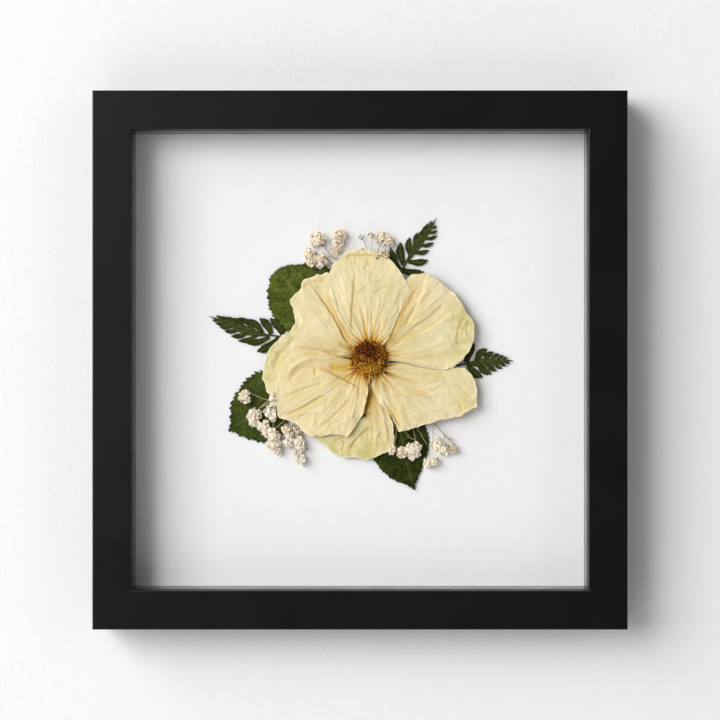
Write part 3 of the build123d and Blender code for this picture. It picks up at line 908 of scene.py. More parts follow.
def add_petal(name, spec, skin, seed, around=300, rings=104):
    """One papery petal: a fan of rays from its base to a slightly ragged outline."""
    edge, length = closed_curve(spec["outline"], around)
    run = np.roll(edge, -1, 0) - np.roll(edge, 1, 0)
    outward = np.stack([run[:, 1], -run[:, 0]], 1) / np.linalg.norm(run, axis=1)[:, None]
    arc = np.arange(around) * length / around
    edge = edge + outward * (0.75 * wrinkle(arc * 0.40, arc * 0.0, seed + 20, 4))[:, None]
    base = np.array(spec["base"])
    radius = np.linspace(0, 1, rings + 1)[1:] ** 0.9
    rays = edge - base
    points = (base + rays[None] * radius[:, None, None]).reshape(-1, 2)
    reach = np.linalg.norm(rays, axis=1)
    edge_gap = ((1 - radius)[:, None] * reach[None]).ravel()
    angle = np.tile(np.arctan2(rays[:, 1], rays[:, 0]), rings)
    angle = np.where(angle < -2.6, angle + 2 * np.pi, angle) if base[0] < 4 else angle
    height, tint = petal_surface(points, spec, edge_gap, angle, seed)
    middle = height[:around].mean()
    vertices = np.vstack([place(base[0], base[1], middle), place(points[:, 0], points[:, 1], height)])
    tint = np.vstack([tint[0], tint])
    grain_v = (radius[:, None] * reach[None]).ravel()
    grain = np.vstack([[0, 0], np.stack([angle * 16, grain_v], 1)])
    faces = [(0, 1 + j, 1 + (j + 1) % around) for j in range(around)]
    faces += [tuple(1 + i for i in face) for face in grid_faces(rings, around, wrap=True)]
    mesh = Mesh()
    mesh.add(vertices, faces, tint, grain)
    mesh.build(name, skin, thickness=0.14)


# ---------------------------------------------------------------- stamens
# Loose filaments round the disc: path as (u, v, h), radius and tint.
LOOSE_FILAMENTS = [
    ([(12.0, -5.4, 7.2), (13.4, -6.8, 6.9), (14.6, -7.8, 6.6), (16.6, -8.2, 6.5), (17.6, -9.6, 6.4)],
     0.22, (0.25, 0.5, 0, 1)),
    ([(12.6, -6.0, 7.0), (13.6, -7.6, 6.9)], 0.55, (0.95, 0, 0, 1)),
    ([(-3.0, 0.9, 7.2), (-6.0, 1.0, 6.9), (-9.4, 1.7, 6.6)], 0.55, (0.75, 0.2, 0, 1)),
    ([(4.6, -7.6, 7.8), (4.9, -9.4, 7.4), (4.6, -10.8, 7.2)], 0.55, (0, 0.4, 0.9, 1)),
    ([(-4.0, 6.0, 7.4), (-6.0, 8.0, 7.1)], 0.4, (0.5, 0.4, 0, 1)),
    ([(-4.6, -4.0, 7.2), (-6.6, -5.4, 6.9)], 0.3, (0.3, 0.6, 0.1, 1)),
    ([(10.2, 8.4, 7.6), (11.4, 10.2, 7.4)], 0.3, (0.3, 0.7, 0.1, 1)),
]


def add_flower_centre(skin):
    """A low dome packed with curled stamens: maroon above, gold below, dark tips among them."""
    rng = np.random.default_rng(11)
    mesh = Mesh()
    rings, sides = 14, 48
    radius = np.linspace(0.02, 1, rings)
    turn = np.linspace(0, 2 * np.pi, sides, endpoint=False)
    u = FLOWER[0] + DISC_RADIUS * np.outer(radius, np.cos(turn))
    v = FLOWER[1] + DISC_RADIUS * np.outer(radius, np.sin(turn))
    h = 8.3 - 1.5 * radius[:, None] ** 2 + 0.9 * wrinkle(u * 0.5, v * 0.5, 3)
    mesh.add(place(u, v, h).reshape(-1, 3), grid_faces(rings, sides, wrap=True), (0.9, 0.1, 0, 1), (0, 0))
    stamens, filament_rows, loose_rows = 1150, 5, 10
    for k in range(stamens):
        share = math.sqrt((k + 0.5) / stamens)
        turn = k * GOLDEN_ANGLE + rng.normal(0, 0.15)
        ragged = 1 + 0.16 * float(wrinkle(2.2 * math.cos(turn), 2.2 * math.sin(turn), 5, 2))
        r = 8.9 * share * ragged * (1 + rng.normal(0, 0.03))
        across, up = math.cos(turn), math.sin(turn)
        tip = np.array([
            FLOWER[0] + r * across + rng.normal(0, 0.5),
            FLOWER[1] + r * up + rng.normal(0, 0.5),
            9.6 - 2.5 * share**2 + rng.normal(0, 0.45),
        ])
        root = np.array([FLOWER[0] + 0.74 * r * across, FLOWER[1] + 0.74 * r * up, 7.3])
        clump = float(wrinkle(tip[0] * 0.42, tip[1] * 0.42, 8, 3))
        from_dark = math.hypot(tip[0] - DARK_MIDDLE[0], tip[1] - DARK_MIDDLE[1])
        maroon = float(smoothstep(8.2, 3.4, from_dark + 5.0 * clump + rng.normal(0, 0.8)))
        maroon = max(maroon, 0.42 * float(smoothstep(-2.0, 2.0, tip[1] + 4 * clump + rng.normal(0, 1.2))))
        dot = rng.random() < 0.16 + 0.18 * (share > 0.85)
        red = rng.uniform(0.75, 1.0) if dot else maroon * rng.uniform(0.55, 1.0)
        gold = (1 - red) * rng.uniform(0.2, 1.0)
        light = (1 - red) * (rng.random() < 0.26) * rng.uniform(0.3, 0.9)
        tint = (red, gold, light, 1)
        bend = (root + tip) / 2 + np.append(rng.normal(0, 0.6, 2), 0.5)
        path = open_curve([root, bend, tip], filament_rows)
        add_tube(mesh, path, np.linspace(0.17, 0.10, filament_rows), tint, sides=4)
        size = rng.uniform(0.7, 1.5)
        add_blob(mesh, tip, (0.30 * size, 0.26 * size, 0.48 * size), rng.normal(0, 1, 3), tint)
    for points, thick, tint in LOOSE_FILAMENTS:
        path = open_curve(points, loose_rows)
        add_tube(mesh, path, np.linspace(thick, 0.4 * thick, loose_rows), tint, sides=6)
    mesh.build("flower_centre", skin)


# ---------------------------------------------------------------- leaves and ferns
def toothed(edge, side, pitch, depth):
    """An edge with forward-pointing teeth. side is 1 on the left of its run and -1 on the right."""
    run = np.gradient(edge, axis=0)
    step = np.linalg.norm(run, axis=1)
    run = run / step[:, None]
    outward = side * np.stack([-run[:, 1], run[:, 0]], 1)
    arc = np.cumsum(step)
    saw = (arc / pitch) % 1.0
    uneven = 0.6 + 0.8 * value_noise(arc / pitch, arc * 0, 3)
    fade = smoothstep(0, 0.06, arc / arc[-1]) * smoothstep(1.0, 0.95, arc / arc[-1])
    push = (depth * uneven * fade)[:, None]
    return edge + push * ((saw - 0.35)[:, None] * outward + 0.7 * saw[:, None] * run)


def add_blade(mesh, rib, left, right, heights, columns=13, veins=9, pleat=0.18, seed=0):
    """A leaf blade between two edges, about a rib. All three have the same number of points."""
    rows = len(rib)
    s = np.linspace(0, 1, rows)
    t = np.linspace(-1, 1, columns)
    reach = np.abs(t)[None, :, None]
    outer = np.where((t > 0)[None, :, None], left[:, None], right[:, None])
    uv = rib[:, None] * (1 - reach) + outer * reach
    u, v = uv[..., 0], uv[..., 1]
    phase = (s[:, None] * veins - np.abs(t)[None] * 0.15 * veins) % 1.0
    fold = np.abs(phase - 0.5) * 2
    width = np.linalg.norm(left - right, axis=1)
    h = np.interp(s, np.linspace(0, 1, len(heights)), heights)[:, None]
    h = h + pleat * (0.5 - fold) * smoothstep(0.02, 0.3, np.abs(t))[None]
    h = h - 0.25 * np.exp(-(np.abs(t) / 0.10) ** 2)[None] * (width / width.max())[:, None]
    h = h + 2.2 * pleat * wrinkle(u * 0.30, v * 0.30, seed + 1, 4)
    vein = np.maximum(smoothstep(0.88, 1.0, fold), np.exp(-(t / 0.05) ** 2)[None] * np.ones((rows, 1)))
    blotch = smoothstep(0.45, 0.85, value_noise(u * 0.28, v * 0.28, seed + 3)) * 0.4
    edge = smoothstep(0.94, 1.0, np.abs(t))[None] * 0.4 * np.ones((rows, 1))
    tint = np.stack([vein, blotch, edge, np.ones_like(vein)], -1).reshape(-1, 4)
    grain = np.stack([np.broadcast_to(s[:, None], u.shape), np.broadcast_to(t[None], u.shape)], -1)
    mesh.add(place(u, v, h).reshape(-1, 3), grid_faces(rows, columns), tint, grain.reshape(-1, 2))


# Each leaf: rib and both edges from base to tip, and its teeth's pitch and depth.
LEAVES = {}
LEAVES["leaf_upper_left"] = dict(
    rib=[(-24, 18), (-29, 27), (-36, 38), (-42.7, 46.3)], teeth=(1.8, 2.1), heights=(0.9, 0.8, 0.8, 1.1),
    pleat=0.26, colours=((0.05, 0.074, 0.01), (0.135, 0.175, 0.024), (0.23, 0.26, 0.06)),
    left=[
        (-24, 18), (-33, 15.4), (-38, 15.6), (-42.2, 19.6), (-45, 25), (-46.2, 30), (-46.8, 34.5),
        (-46, 39), (-44.4, 43), (-42.7, 46.3),
    ],
    right=[
        (-24, 18), (-18, 28), (-14, 38), (-14.2, 44.6), (-16.4, 46.4), (-21, 46), (-25, 47.8), (-30, 48.6),
        (-35, 48.2), (-39, 47.3), (-42.7, 46.3),
    ],
)
LEAVES["leaf_lower_left"] = dict(
    rib=[(-38, -12), (-46, -20), (-56, -28.5), (-67.9, -36.2)], teeth=(2.4, 2),
    heights=(0.9, 0.8, 0.7, 0.9), pleat=0.2,
    colours=((0.034, 0.052, 0.007), (0.09, 0.12, 0.022), (0.14, 0.17, 0.04)),
    left=[
        (-38, -12), (-36, -24), (-38, -34), (-43, -39.5), (-49, -41.3), (-55, -40.2), (-60, -38.6),
        (-64, -36.9), (-67.9, -36.2),
    ],
    right=[
        (-38, -12), (-44, -7), (-50, -6.2), (-55, -8), (-60.5, -14), (-64.6, -20.2), (-65.8, -28),
        (-66.2, -34), (-67.9, -36.2),
    ],
)
LEAVES["leaf_bottom"] = dict(
    rib=[(19, -29), (22, -44), (25, -56), (28.2, -66.9)], teeth=(2.2, 1.1), heights=(0.9, 0.7, 0.8, 1.3),
    pleat=0.2, colours=((0.014, 0.02, 0.002), (0.056, 0.074, 0.01), (0.09, 0.115, 0.026)),
    left=[
        (19, -29), (31, -31), (34.4, -38), (35, -44), (34, -49), (32, -54.5), (29.6, -60), (28, -64),
        (28.2, -66.9),
    ],
    right=[
        (19, -29), (10, -37), (5.4, -47), (8.4, -52.5), (12.6, -57.6), (17.4, -61.2), (22, -63.2),
        (26, -64.8), (28.2, -66.9),
    ],
)


def add_leaf(name, spec, seed):
    """One toothed leaf."""
    rows = 280
    rib = open_curve(spec["rib"], rows)
    left = toothed(open_curve(spec["left"], rows), 1, *spec["teeth"])
    right = toothed(open_curve(spec["right"], rows), -1, *spec["teeth"])
    mesh = Mesh()
    add_blade(mesh, rib, left, right, spec["heights"], columns=35, veins=11, pleat=spec["pleat"], seed=seed)
    skin = leaf_skin(name + "_green", *spec["colours"])
    mesh.build(name, skin, thickness=0.2)


# Each fern: its rib, the half width of its joined middle, and leaflets as root, tip and width.
FERNS = {}
FERNS["fern_left"] = dict(
    rib=[(-37, 11.4), (-45, 12.6), (-52, 13.4), (-60, 15.8), (-70, 19.6), (-77.6, 22.5)], middle=3.6,
    leaflets=[
        ((-39.4, 12.6), (-46.4, 21.4), 5), ((-45.6, 13.4), (-51.6, 21.5), 4.6),
        ((-50, 14), (-58.6, 21), 3.8), ((-54.6, 15.4), (-62.4, 21.9), 3), ((-59.6, 17), (-65.4, 21.6), 2.6),
        ((-63.4, 18.2), (-69, 22.1), 2.3), ((-67, 19.4), (-71.7, 22.3), 1.9),
        ((-70.2, 20.4), (-74.1, 22.7), 1.6), ((-41.6, 11.2), (-53, 4.4), 5.2),
        ((-46.6, 11.8), (-58.8, 8.8), 3.6), ((-52.6, 12.8), (-62.8, 9.7), 2.9),
        ((-57.2, 14.2), (-66.4, 12.2), 2.9), ((-61.8, 15.8), (-69.8, 14.9), 2.5),
        ((-65.6, 17.4), (-72.3, 17), 2.2), ((-68.6, 18.8), (-74.3, 18.9), 1.9),
        ((-71.8, 20.2), (-76, 20.6), 1.5),
    ],
)
FERNS["fern_top"] = dict(
    rib=[(19.6, 42.6), (22.4, 48), (26, 53.8), (30, 60), (34.6, 66), (39.2, 73)], middle=3.3,
    leaflets=[
        ((20.6, 46.4), (15.6, 57.9), 4.2), ((22.4, 49), (20.8, 60.4), 4.7),
        ((25.6, 53.6), (25.5, 63.1), 3.5), ((28.4, 57.8), (29.5, 65.6), 2.5),
        ((30.6, 60.6), (31.7, 66.6), 2.1), ((32.6, 63.6), (33.5, 68.9), 2),
        ((34.2, 65.8), (34.9, 70.3), 1.8), ((36, 68.2), (36.7, 71.5), 1.4), ((22, 46.2), (33.4, 44.8), 5),
        ((24.8, 50.6), (34.9, 51.3), 3.9), ((28, 55), (35.4, 56.5), 2.8), ((30.8, 58.8), (37.9, 60.3), 2.5),
        ((33.2, 62.2), (39.5, 64), 2.2), ((35.4, 65.2), (39.5, 66.5), 1.9), ((37, 67.4), (39.1, 69.1), 1.5),
    ],
)
FERNS["fern_right"] = dict(
    rib=[(46, -3.4), (52, -2.4), (58, -1.8), (65, -1.3), (72, -0.8), (78.6, -0.1)], middle=3.6,
    leaflets=[
        ((54.6, -1.2), (58.9, 8.3), 5), ((59.4, -0.4), (65, 5.8), 4.2), ((63.8, 0), (68.4, 4.2), 3.2),
        ((67.4, 0.4), (71.7, 3.1), 2.3), ((70.4, 0.2), (74.1, 2.1), 1.8), ((73, 0), (75.9, 1.2), 1.3),
        ((55.4, -2.6), (62.9, -8.9), 4.8), ((60.6, -2.4), (67.4, -7.2), 4), ((65, -2), (70.2, -5.5), 3),
        ((68.6, -1.8), (73.2, -4.2), 2.2), ((71.6, -1.5), (75.3, -2.8), 1.7), ((74.2, -1), (77, -1.6), 1.2),
    ],
)


def add_leaflet(mesh, root, tip, width, height, rib_run, seed):
    """One fern leaflet, widest past its middle, with a few teeth near its tip."""
    root, tip = np.array(root, float), np.array(tip, float)
    span = tip - root
    length = np.linalg.norm(span)
    across = np.array([-span[1], span[0]]) / length
    inward = -np.sign(across @ rib_run) or 1.0
    rows = 41
    rib = open_curve([root, (root + tip) / 2 + 0.09 * length * inward * across, tip], rows)
    side = headings(rib)[1]
    s = np.linspace(0, 1, rows)
    half = 0.43 * width * (0.62 + 0.38 * smoothstep(0.05, 0.5, s)) * (1 - smoothstep(0.62, 1.03, s)) ** 0.75
    left = rib + side * half[:, None]
    right = rib - side * half[:, None]
    late = smoothstep(0.35, 0.6, s)[:, None]
    pitch = length / 5.2
    left += late * (toothed(left, 1, pitch, 0.16 * width) - left)
    right += late * (toothed(right, -1, pitch, 0.16 * width) - right)
    heights = (height, height - 0.1, height + 0.3 * value_noise(root[0], root[1], 2))
    add_blade(mesh, rib, left, right, heights, columns=9, veins=6, pleat=0.07, seed=seed)


def add_fern(name, spec, skin, seed):
    """A fern tip: a thin rib, a joined middle towards the tip, and leaflets on both sides."""
    mesh = Mesh()
    rows = 60
    rib = open_curve(spec["rib"], rows)
    s = np.linspace(0, 1, rows)
    height = np.interp(s, [0, 0.5, 1], [0.9, 0.7, 1.1])
    stalk = np.column_stack([rib, height + 0.1])
    add_tube(mesh, stalk, np.linspace(0.38, 0.10, rows), (0.9, 0.5, 0, 1), sides=6)
    run, side = headings(rib)
    half = spec["middle"] * (0.12 + 0.88 * smoothstep(0.2, 0.58, s)) * (1 - s**1.7)
    add_blade(mesh, rib, rib + side * half[:, None], rib - side * half[:, None], (0.85, 0.65, 1.05),
              columns=9, veins=0, pleat=0.04, seed=seed)
    for k, (root, tip, width) in enumerate(spec["leaflets"]):
        nearest = np.linalg.norm(rib - np.array(root), axis=1).argmin()
        add_leaflet(mesh, root, tip, width, height[nearest] + 0.03 * (k % 3), run[nearest], seed + k)
    mesh.build(name, skin, thickness=0.16)


# ---------------------------------------------------------------- baby's breath
def add_floret(mesh, centre, size, axis, rng, tint, petals=34):
    """A double blossom: small cupped petals crowded over a rounded heart."""
    centre = np.asarray(centre, float)
    axis = unit(axis)
    side = unit(np.cross(axis, (0.2, 0.9, 0.3)))
    other = np.cross(axis, side)
    # The heart is painted more peach, as painted shade in the blossom's middle.
    heart = np.array(tint, float)
    heart[1] = min(1, heart[1] + 0.25)
    add_blob(mesh, centre, (0.5 * size, 0.5 * size, 0.28 * size), (0, 0, 1), heart)
    rings, sides = 5, 12
    round_it = np.linspace(0, 2 * np.pi, sides, endpoint=False)
    rho, theta = np.meshgrid(np.linspace(0.08, 1, rings), round_it, indexing="ij")
    faces = grid_faces(rings, sides, wrap=True) + [tuple(range(sides))]
    for k in range(petals):
        lift = 1 - 1.55 * (k + 0.5) / petals
        turn = k * GOLDEN_ANGLE + rng.normal(0, 0.35)
        flat = math.sqrt(max(0.0, 1 - lift * lift))
        ray = axis * lift + (side * math.cos(turn) + other * math.sin(turn)) * flat
        facing = unit(ray + rng.normal(0, 0.35, 3))
        along = unit(np.cross(facing, (0.3, 0.5, 0.8)))
        across = np.cross(facing, along)
        radius = size * rng.uniform(0.22, 0.38)
        cup = rng.choice([0.62, 0.45, -0.40]) * radius
        ripple = 0.10 * radius * np.sin(7 * theta)
        wave = 0.16 * radius * np.sin(3 * theta + rng.uniform(0, FULL_TURN)) + ripple
        oval = rng.uniform(0.75, 1.0)
        notch = 1 - 0.16 * np.maximum(0, np.cos(theta + rng.uniform(0, FULL_TURN))) ** 6
        spot = centre + ray * size * rng.uniform(0.42, 0.70)
        shape = (
            spot
            + along * (radius * rho * notch * np.cos(theta))[..., None]
            + across * (radius * oval * rho * notch * np.sin(theta))[..., None]
            + facing * ((cup + wave) * rho**2)[..., None]
        )
        shade = np.tile(np.array(tint, float), (rho.size, 1))
        # Peach rises towards each petal's middle, as painted shade in its cup.
        shade[:, 1] = np.clip(shade[:, 1] + 0.32 * (1 - rho.ravel()) ** 1.5 + rng.normal(0, 0.08), 0, 1)
        shade[:, 0] = np.clip(shade[:, 0] + 0.12 * (rng.random() < 0.15), 0, 1)
        flat_shape = shape.reshape(-1, 3)
        flat_shape[:, 2] = centre[2] + 0.6 * (flat_shape[:, 2] - centre[2])
        flat_shape[:, 2] = np.maximum(flat_shape[:, 2], 0.35)
        mesh.add(place(*flat_shape.T), faces, shade, (0, 0))


SEPALS = 4
STEM = (0.05, 0.1, 0.75, 1)
DARK_STEM = (0.65, 0.1, 0.5, 1)
CREAM = (0.0, 0.0, 0.0, 1)
PEACH = (0.0, 0.30, 0.0, 1)
TAN = (0.04, 0.45, 0.0, 1)

# Each sprig: stems as lists of (u, v, h), and blossoms as (u, v, h, size, facing u, facing v,
# tint); buds are small closed calyxes at a stem's end.
SPRIGS = {}
SPRIGS["sprig_top_left"] = dict(
    stems=[
        ([(-6, 46, 1.5), (-13, 52, 2), (-17, 56.5, 2.4), (-20, 60, 2.6)], 0.26, DARK_STEM),
        ([(-6, 46, 1.5), (-11, 51.5, 2.6), (-14.6, 56, 3), (-15.6, 60, 3.2), (-13.5, 62.4, 3.2)],
         0.22, STEM),
        ([(-8, 48, 1.5), (-13, 49.3, 2.2), (-17, 50.6, 2.6), (-21, 51, 2.6)], 0.24, DARK_STEM),
        ([(-13, 52, 2), (-16, 53.4, 2.6), (-18, 53, 2.8)], 0.18, STEM),
        ([(-9, 47, 1.4), (-14, 47.6, 2), (-18, 48.4, 2.3)], 0.18, STEM),
    ],
    blossoms=[
        (-21.6, 62, 2.9, 4.3, -0.3, 0.6, PEACH), (-23, 60, 2.6, 2.6, -0.6, 0.2, PEACH),
        (-10.6, 64.4, 3.3, 3.4, 0.4, 0.5, PEACH), (-11.4, 61, 3, 3.2, 0.2, 0.1, PEACH),
        (-26, 54.4, 2.8, 3.4, -0.8, 0.4, PEACH), (-25, 50.6, 2.6, 3, -0.8, -0.2, PEACH),
        (-20, 51.4, 3, 4.2, -0.2, 0.1, PEACH), (-12.4, 56, 3, 2.6, 0.2, 0.4, (0.03, 0.95, 0.1, 1)),
    ],
    buds=[
        (-19.4, 58.6, 3.2, 0.9), (-10.6, 63.4, 5.4, 0.6), (-10.8, 61.8, 5.4, 0.5), (-11.6, 60.2, 5.2, 0.5),
        (-19, 52.6, 5.8, 0.6), (-19.6, 50.2, 5.8, 0.7), (-18.6, 48.6, 5.2, 0.7), (-22.6, 54.6, 4.8, 0.6),
        (-23.6, 57.6, 3.2, 0.5), (-19.8, 59.6, 4.2, 0.6),
    ],
)
SPRIGS["sprig_top_right"] = dict(
    stems=[
        ([(6, 48, 1.5), (4.4, 55, 2.4), (2.4, 60, 2.8), (1.2, 61.8, 2.9)], 0.2, STEM),
        ([(1.2, 61.6, 2.9), (-0.4, 62.8, 3)], 0.2, DARK_STEM),
        ([(1.2, 61.6, 2.9), (1.9, 63.4, 3)], 0.2, DARK_STEM),
        ([(1.2, 61.6, 2.9), (0.5, 63.8, 3)], 0.2, DARK_STEM),
        ([(6.2, 48, 1.5), (6, 56, 2.6), (5.8, 62.6, 2.9)], 0.18, STEM),
        ([(7.6, 47, 1.5), (9.2, 56, 3), (11, 60.6, 3.6)], 0.28, DARK_STEM),
        ([(11.4, 58.4, 3.2), (13, 56.6, 3), (15.2, 55.4, 2.4)], 0.16, STEM),
    ],
    blossoms=[
        (11.4, 62.4, 3, 3.6, 0, 0.6, PEACH), (14.2, 60.8, 2.9, 3.2, 0.5, 0.3, PEACH),
        (12.8, 54.2, 7, 2.3, 0.3, 0.2, (0.05, 0.8, 0.1, 1)), (10.6, 54.6, 7.2, 1.6, 0, 0.2, TAN),
        (5.7, 63.4, 3.2, 1.5, 0, 0.6, TAN),
    ],
    buds=[
        (-0.4, 63, 3, 0.6), (0.5, 64, 3, 0.55), (2.1, 63.6, 3, 0.6), (4.4, 64.6, 3, 0.7),
        (5.9, 64.8, 4.2, 0.65), (6.9, 64.2, 3.4, 0.6), (8.9, 60, 3.2, 0.6), (11.4, 61, 4.8, 0.8),
        (12.8, 58.8, 4.2, 0.7), (11.8, 54.8, 8.4, 0.6), (10.4, 53.4, 8.4, 0.6), (8.8, 52.2, 7.4, 0.8),
    ],
)
SPRIGS["sprig_lower_left"] = dict(
    stems=[
        ([(-40, -18, 1.4), (-46.5, -20.4, 2), (-50, -19.6, 2.6), (-56.4, -17, 3.2)], 0.26, STEM),
        ([(-46, -20, 2), (-49.5, -23, 2.6), (-52.5, -25.5, 3)], 0.3, STEM),
        ([(-42, -19, 1.5), (-46, -21.4, 2.4), (-51, -24.6, 3)], 0.3, STEM),
        ([(-38, -24, 1.5), (-44, -29, 2.4), (-44.6, -36, 3.2)], 0.22, STEM),
        ([(-36, -26, 1.5), (-39.4, -31.4, 2.6), (-43.4, -35, 3.2)], 0.22, STEM),
        ([(-30, -30, 1.5), (-33, -34, 2.6), (-32, -44, 2.8), (-28.8, -50, 2.8)], 0.24, STEM),
        ([(-31, -34, 2.2), (-29.2, -40, 2.8), (-27.2, -45, 3)], 0.22, STEM),
        ([(-34, -30, 1.8), (-33.4, -36, 3.6), (-34, -41, 4)], 0.26, DARK_STEM),
        ([(-30, -31, 1.8), (-31.6, -36, 3.6), (-34, -38, 4)], 0.26, DARK_STEM),
    ],
    blossoms=[
        (-59.4, -19, 3.2, 3.5, -0.4, 0, CREAM), (-58.4, -17, 3.4, 2.2, 0, 0.6, CREAM),
        (-57.6, -20.4, 3.4, 2, 0.3, -0.5, CREAM), (-54.6, -28, 3.2, 4.1, -0.3, 0.2, CREAM),
        (-54.4, -32.2, 3, 2.8, -0.3, -0.6, CREAM), (-52.2, -28.6, 3.6, 2.3, 0.5, 0, TAN),
        (-45.6, -26.6, 3, 4, -0.1, 0.4, CREAM), (-44.6, -29.6, 3, 2.4, 0.1, -0.5, CREAM),
        (-44.6, -19.4, 2.8, 2.7, 0.1, 0.4, CREAM), (-44.2, -22.6, 2.8, 2.3, 0.1, 0.2, CREAM),
        (-49.4, -34, 3, 3.4, -0.3, -0.1, CREAM), (-48.6, -37, 3, 2.2, 0, -0.6, CREAM),
        (-44.4, -38.6, 3.8, 4.6, -0.1, 0.1, CREAM), (-44, -43.2, 3.6, 4.2, 0, -0.4, CREAM),
        (-42.6, -46.4, 3, 2.6, 0.2, -0.6, CREAM), (-37.6, -35.6, 3.6, 3.2, -0.1, 0.2, TAN),
        (-36.4, -38.6, 3.4, 2.2, 0.1, 0, CREAM), (-37, -42.4, 3.2, 3, 0, -0.4, CREAM),
        (-31.6, -41.4, 3.4, 3.4, 0.4, 0, CREAM), (-31, -45, 3, 3, 0.2, -0.3, CREAM),
        (-30.6, -50.8, 2.9, 3.2, 0.2, -0.6, CREAM), (-33, -47.4, 3, 2, -0.3, -0.4, CREAM),
        (-32.4, -36.2, 3.4, 2.6, 0.2, 0.3, TAN),
    ],
    buds=[
        (-50.2, -20.2, 3, 0.8), (-51.6, -28.6, 5, 0.8), (-52, -26.6, 4.8, 0.6), (-32.8, -35.4, 5.6, 0.8),
        (-34.6, -36.4, 4.8, 0.8), (-26.8, -45.4, 3.2, 0.8), (-34.8, -33.4, 4.4, 0.8),
        (-31.4, -38.2, 5.4, 0.7), (-33.4, -39.6, 5, 0.7), (-31, -34.6, 4.6, 0.7), (-36.6, -41.2, 5.4, 0.5),
        (-41.2, -44.6, 4.8, 0.6), (-38.4, -33, 5, 0.6), (-32.6, -47.2, 4.6, 0.5),
    ],
)
SPRIGS["sprig_bottom"] = dict(
    stems=[
        ([(24, -29, 1.5), (27.4, -36, 2.4), (28.4, -41.5, 3.2)], 0.2, STEM),
        ([(20, -29, 1.5), (24, -38, 2.6), (28, -41, 3.2)], 0.2, STEM),
        ([(17, -30, 1.5), (18.6, -38, 2.2), (17.6, -42, 2.6)], 0.22, STEM),
        ([(27, -29, 1.5), (31.5, -38.6, 2.2), (34.6, -43.6, 2.4)], 0.2, STEM),
        ([(34, -28, 1.5), (38, -32.6, 2.4), (43.4, -38.6, 2.8), (49, -44.6, 3)], 0.34, STEM),
        ([(43, -38.2, 2.8), (43.4, -40.4, 3.4), (42, -43, 4)], 0.22, STEM),
        ([(35, -29, 1.5), (37.4, -35, 2.2), (36.8, -42, 2.4)], 0.16, STEM),
        ([(43.4, -38.6, 2.8), (46.6, -40.8, 3)], 0.16, STEM),
    ],
    blossoms=[
        (26.6, -45.6, 3.6, 3.6, -0.2, 0.1, CREAM), (28.6, -44.8, 3.8, 3.2, 0.3, 0.1, CREAM),
        (26.4, -49.8, 3, 2.3, -0.3, -0.6, CREAM), (29, -48.6, 3, 2.4, 0.3, -0.5, CREAM),
        (21.4, -47.4, 3.2, 3.2, 0.1, -0.3, TAN), (16.4, -46, 3, 2.8, -0.3, -0.2, TAN),
        (23.2, -46.4, 3.4, 2.2, 0.2, 0.1, CREAM), (34.6, -52.8, 3, 3, -0.2, -0.3, CREAM),
        (38, -51.8, 3, 3, 0.2, -0.2, CREAM), (39.4, -43.4, 3.2, 3.8, -0.3, 0.1, CREAM),
        (42.6, -45.6, 3.2, 3.6, 0.1, -0.4, CREAM), (47.4, -45.6, 3, 2.8, 0.4, -0.2, (0.05, 0.45, 0, 1)),
    ],
    buds=[
        (24.2, -38.2, 2.8, 0.8), (29.6, -36.4, 2.6, 0.8), (17.6, -42.4, 3.4, 1.2), (18.4, -44.4, 3.6, 0.8),
        (45.2, -44, 4.8, 0.8), (46.4, -46.2, 5.2, 0.7), (42.4, -43.8, 6.2, 0.6), (28.2, -42.6, 6.2, 0.6),
        (47.2, -41, 3, 0.6),
    ],
)


def add_sprig(name, spec, skin, seed):
    """One spray of dried baby's breath."""
    rng = np.random.default_rng(seed)
    mesh = Mesh()
    rows = 14
    for points, radius, tint in spec["stems"]:
        path = open_curve(points, rows)
        path[:, :2] += 0.12 * rng.normal(0, 1, (rows, 2))
        add_tube(mesh, path, np.linspace(radius, 0.75 * radius, rows), tint, sides=6)
    for u, v, h, size, face_u, face_v, tint in spec["blossoms"]:
        add_floret(mesh, (u, v, h), size * 1.1, (face_u, face_v, 0.75), rng, tint)
    for u, v, h, size in spec["buds"]:
        for _ in range(SEPALS):
            lean = rng.normal(0, 0.5, 3) + np.array([0, 0.4, 0.5])
            spot = np.array([u, v, h]) + rng.normal(0, 0.3 * size, 3)
            tint = (rng.uniform(0.4, 0.95), 0.3, 0.6, 1)
            add_blob(mesh, spot, (0.32 * size, 0.32 * size, 0.8 * size), lean, tint)
    mesh.build(name, skin)


# ---------------------------------------------------------------- put it together
def paint(nodes, material):
    """Gives CAD nodes their material."""
    for node in nodes:
        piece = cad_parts[node]
        if not piece.material_slots:
            piece.data.materials.append(material)
        for entry in piece.material_slots:
            entry.material = material


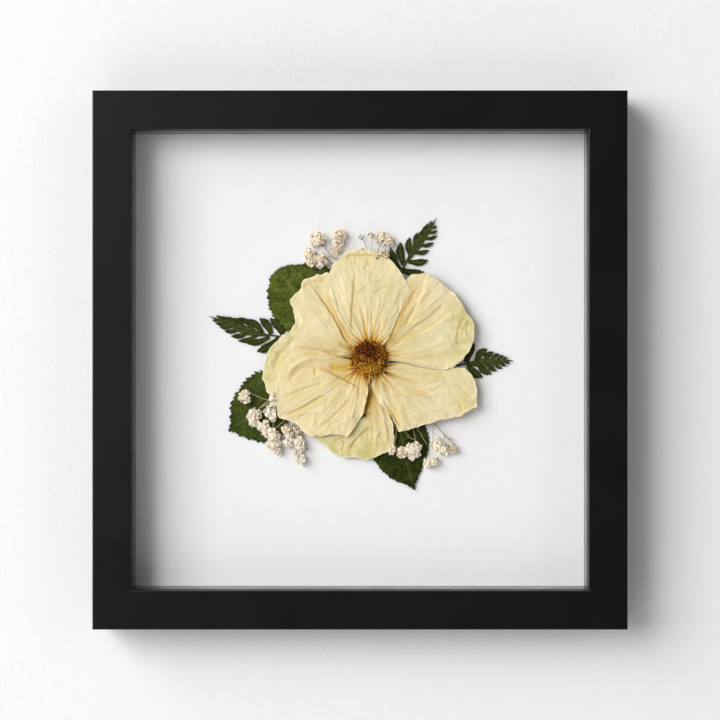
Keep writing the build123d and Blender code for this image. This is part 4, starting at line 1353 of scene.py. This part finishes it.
def paint_cad():
    """Materials on every CAD piece that stays."""
    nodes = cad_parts
    paint(["rail_top", "rail_bottom"], lacquer("lacquer_level", "x"))
    paint(["rail_left", "rail_right"], lacquer("lacquer_upright", "z"))
    paint([n for n in nodes if n.startswith("spacer_")], spacer_paint())
    paint(["glazing"], clear_glass())
    paint(["mount_paper"], cotton_paper())
    paint(["mount_board"], mount_core())
    paint(["back_panel"], hardboard())
    zinc = plated_metal("zinc_plate", (0.52, 0.52, 0.50), (0.66, 0.66, 0.63), 0.38)
    paint([n for n in nodes if n.startswith("turn_button_") and n != "turn_button_screws"], zinc)
    paint([n for n in nodes if n.startswith("hanger_strap_")], zinc)
    paint(["turn_button_screws", "hanger_screws"],
          plated_metal("screw_steel", (0.50, 0.48, 0.43), (0.64, 0.62, 0.56), 0.30))
    paint([n for n in nodes if n.startswith("d_ring_")],
          plated_metal("ring_nickel", (0.60, 0.58, 0.54), (0.72, 0.70, 0.66), 0.24))
    paint(["corner_nails"], plated_metal("nail_steel", (0.28, 0.27, 0.26), (0.42, 0.41, 0.40), 0.5))
    paint(["wall_bumpers"], bumper_rubber())


def add_specimen():
    """The flower, its leaves, ferns and baby's breath."""
    lemon = petal_skin("petal_lemon", (0.83, 0.71, 0.40), (0.935, 0.83, 0.565), (0.935, 0.81, 0.535),
                       (0.82, 0.73, 0.40))
    peach = petal_skin("petal_peach", (0.82, 0.665, 0.335), (0.925, 0.80, 0.515), (0.93, 0.785, 0.50),
                       (0.815, 0.72, 0.35))
    for k, (name, spec) in enumerate(PETALS.items()):
        add_petal(name, spec, peach if name == "petal_lower_left" else lemon, seed=10 + 7 * k)
    add_flower_centre(stamen_skin())
    for k, (name, spec) in enumerate(LEAVES.items()):
        add_leaf(name, spec, seed=60 + 5 * k)
    fern_green = leaf_skin("fern_green", (0.020, 0.030, 0.004), (0.066, 0.086, 0.014), (0.095, 0.11, 0.03))
    for k, (name, spec) in enumerate(FERNS.items()):
        add_fern(name, spec, fern_green, seed=80 + 5 * k)
    cream = blossom_skin()
    for k, (name, spec) in enumerate(SPRIGS.items()):
        add_sprig(name, spec, cream, seed=100 + 5 * k)


add_camera()
add_lights()
set_world()
add_stage()
paint_cad()
add_specimen()
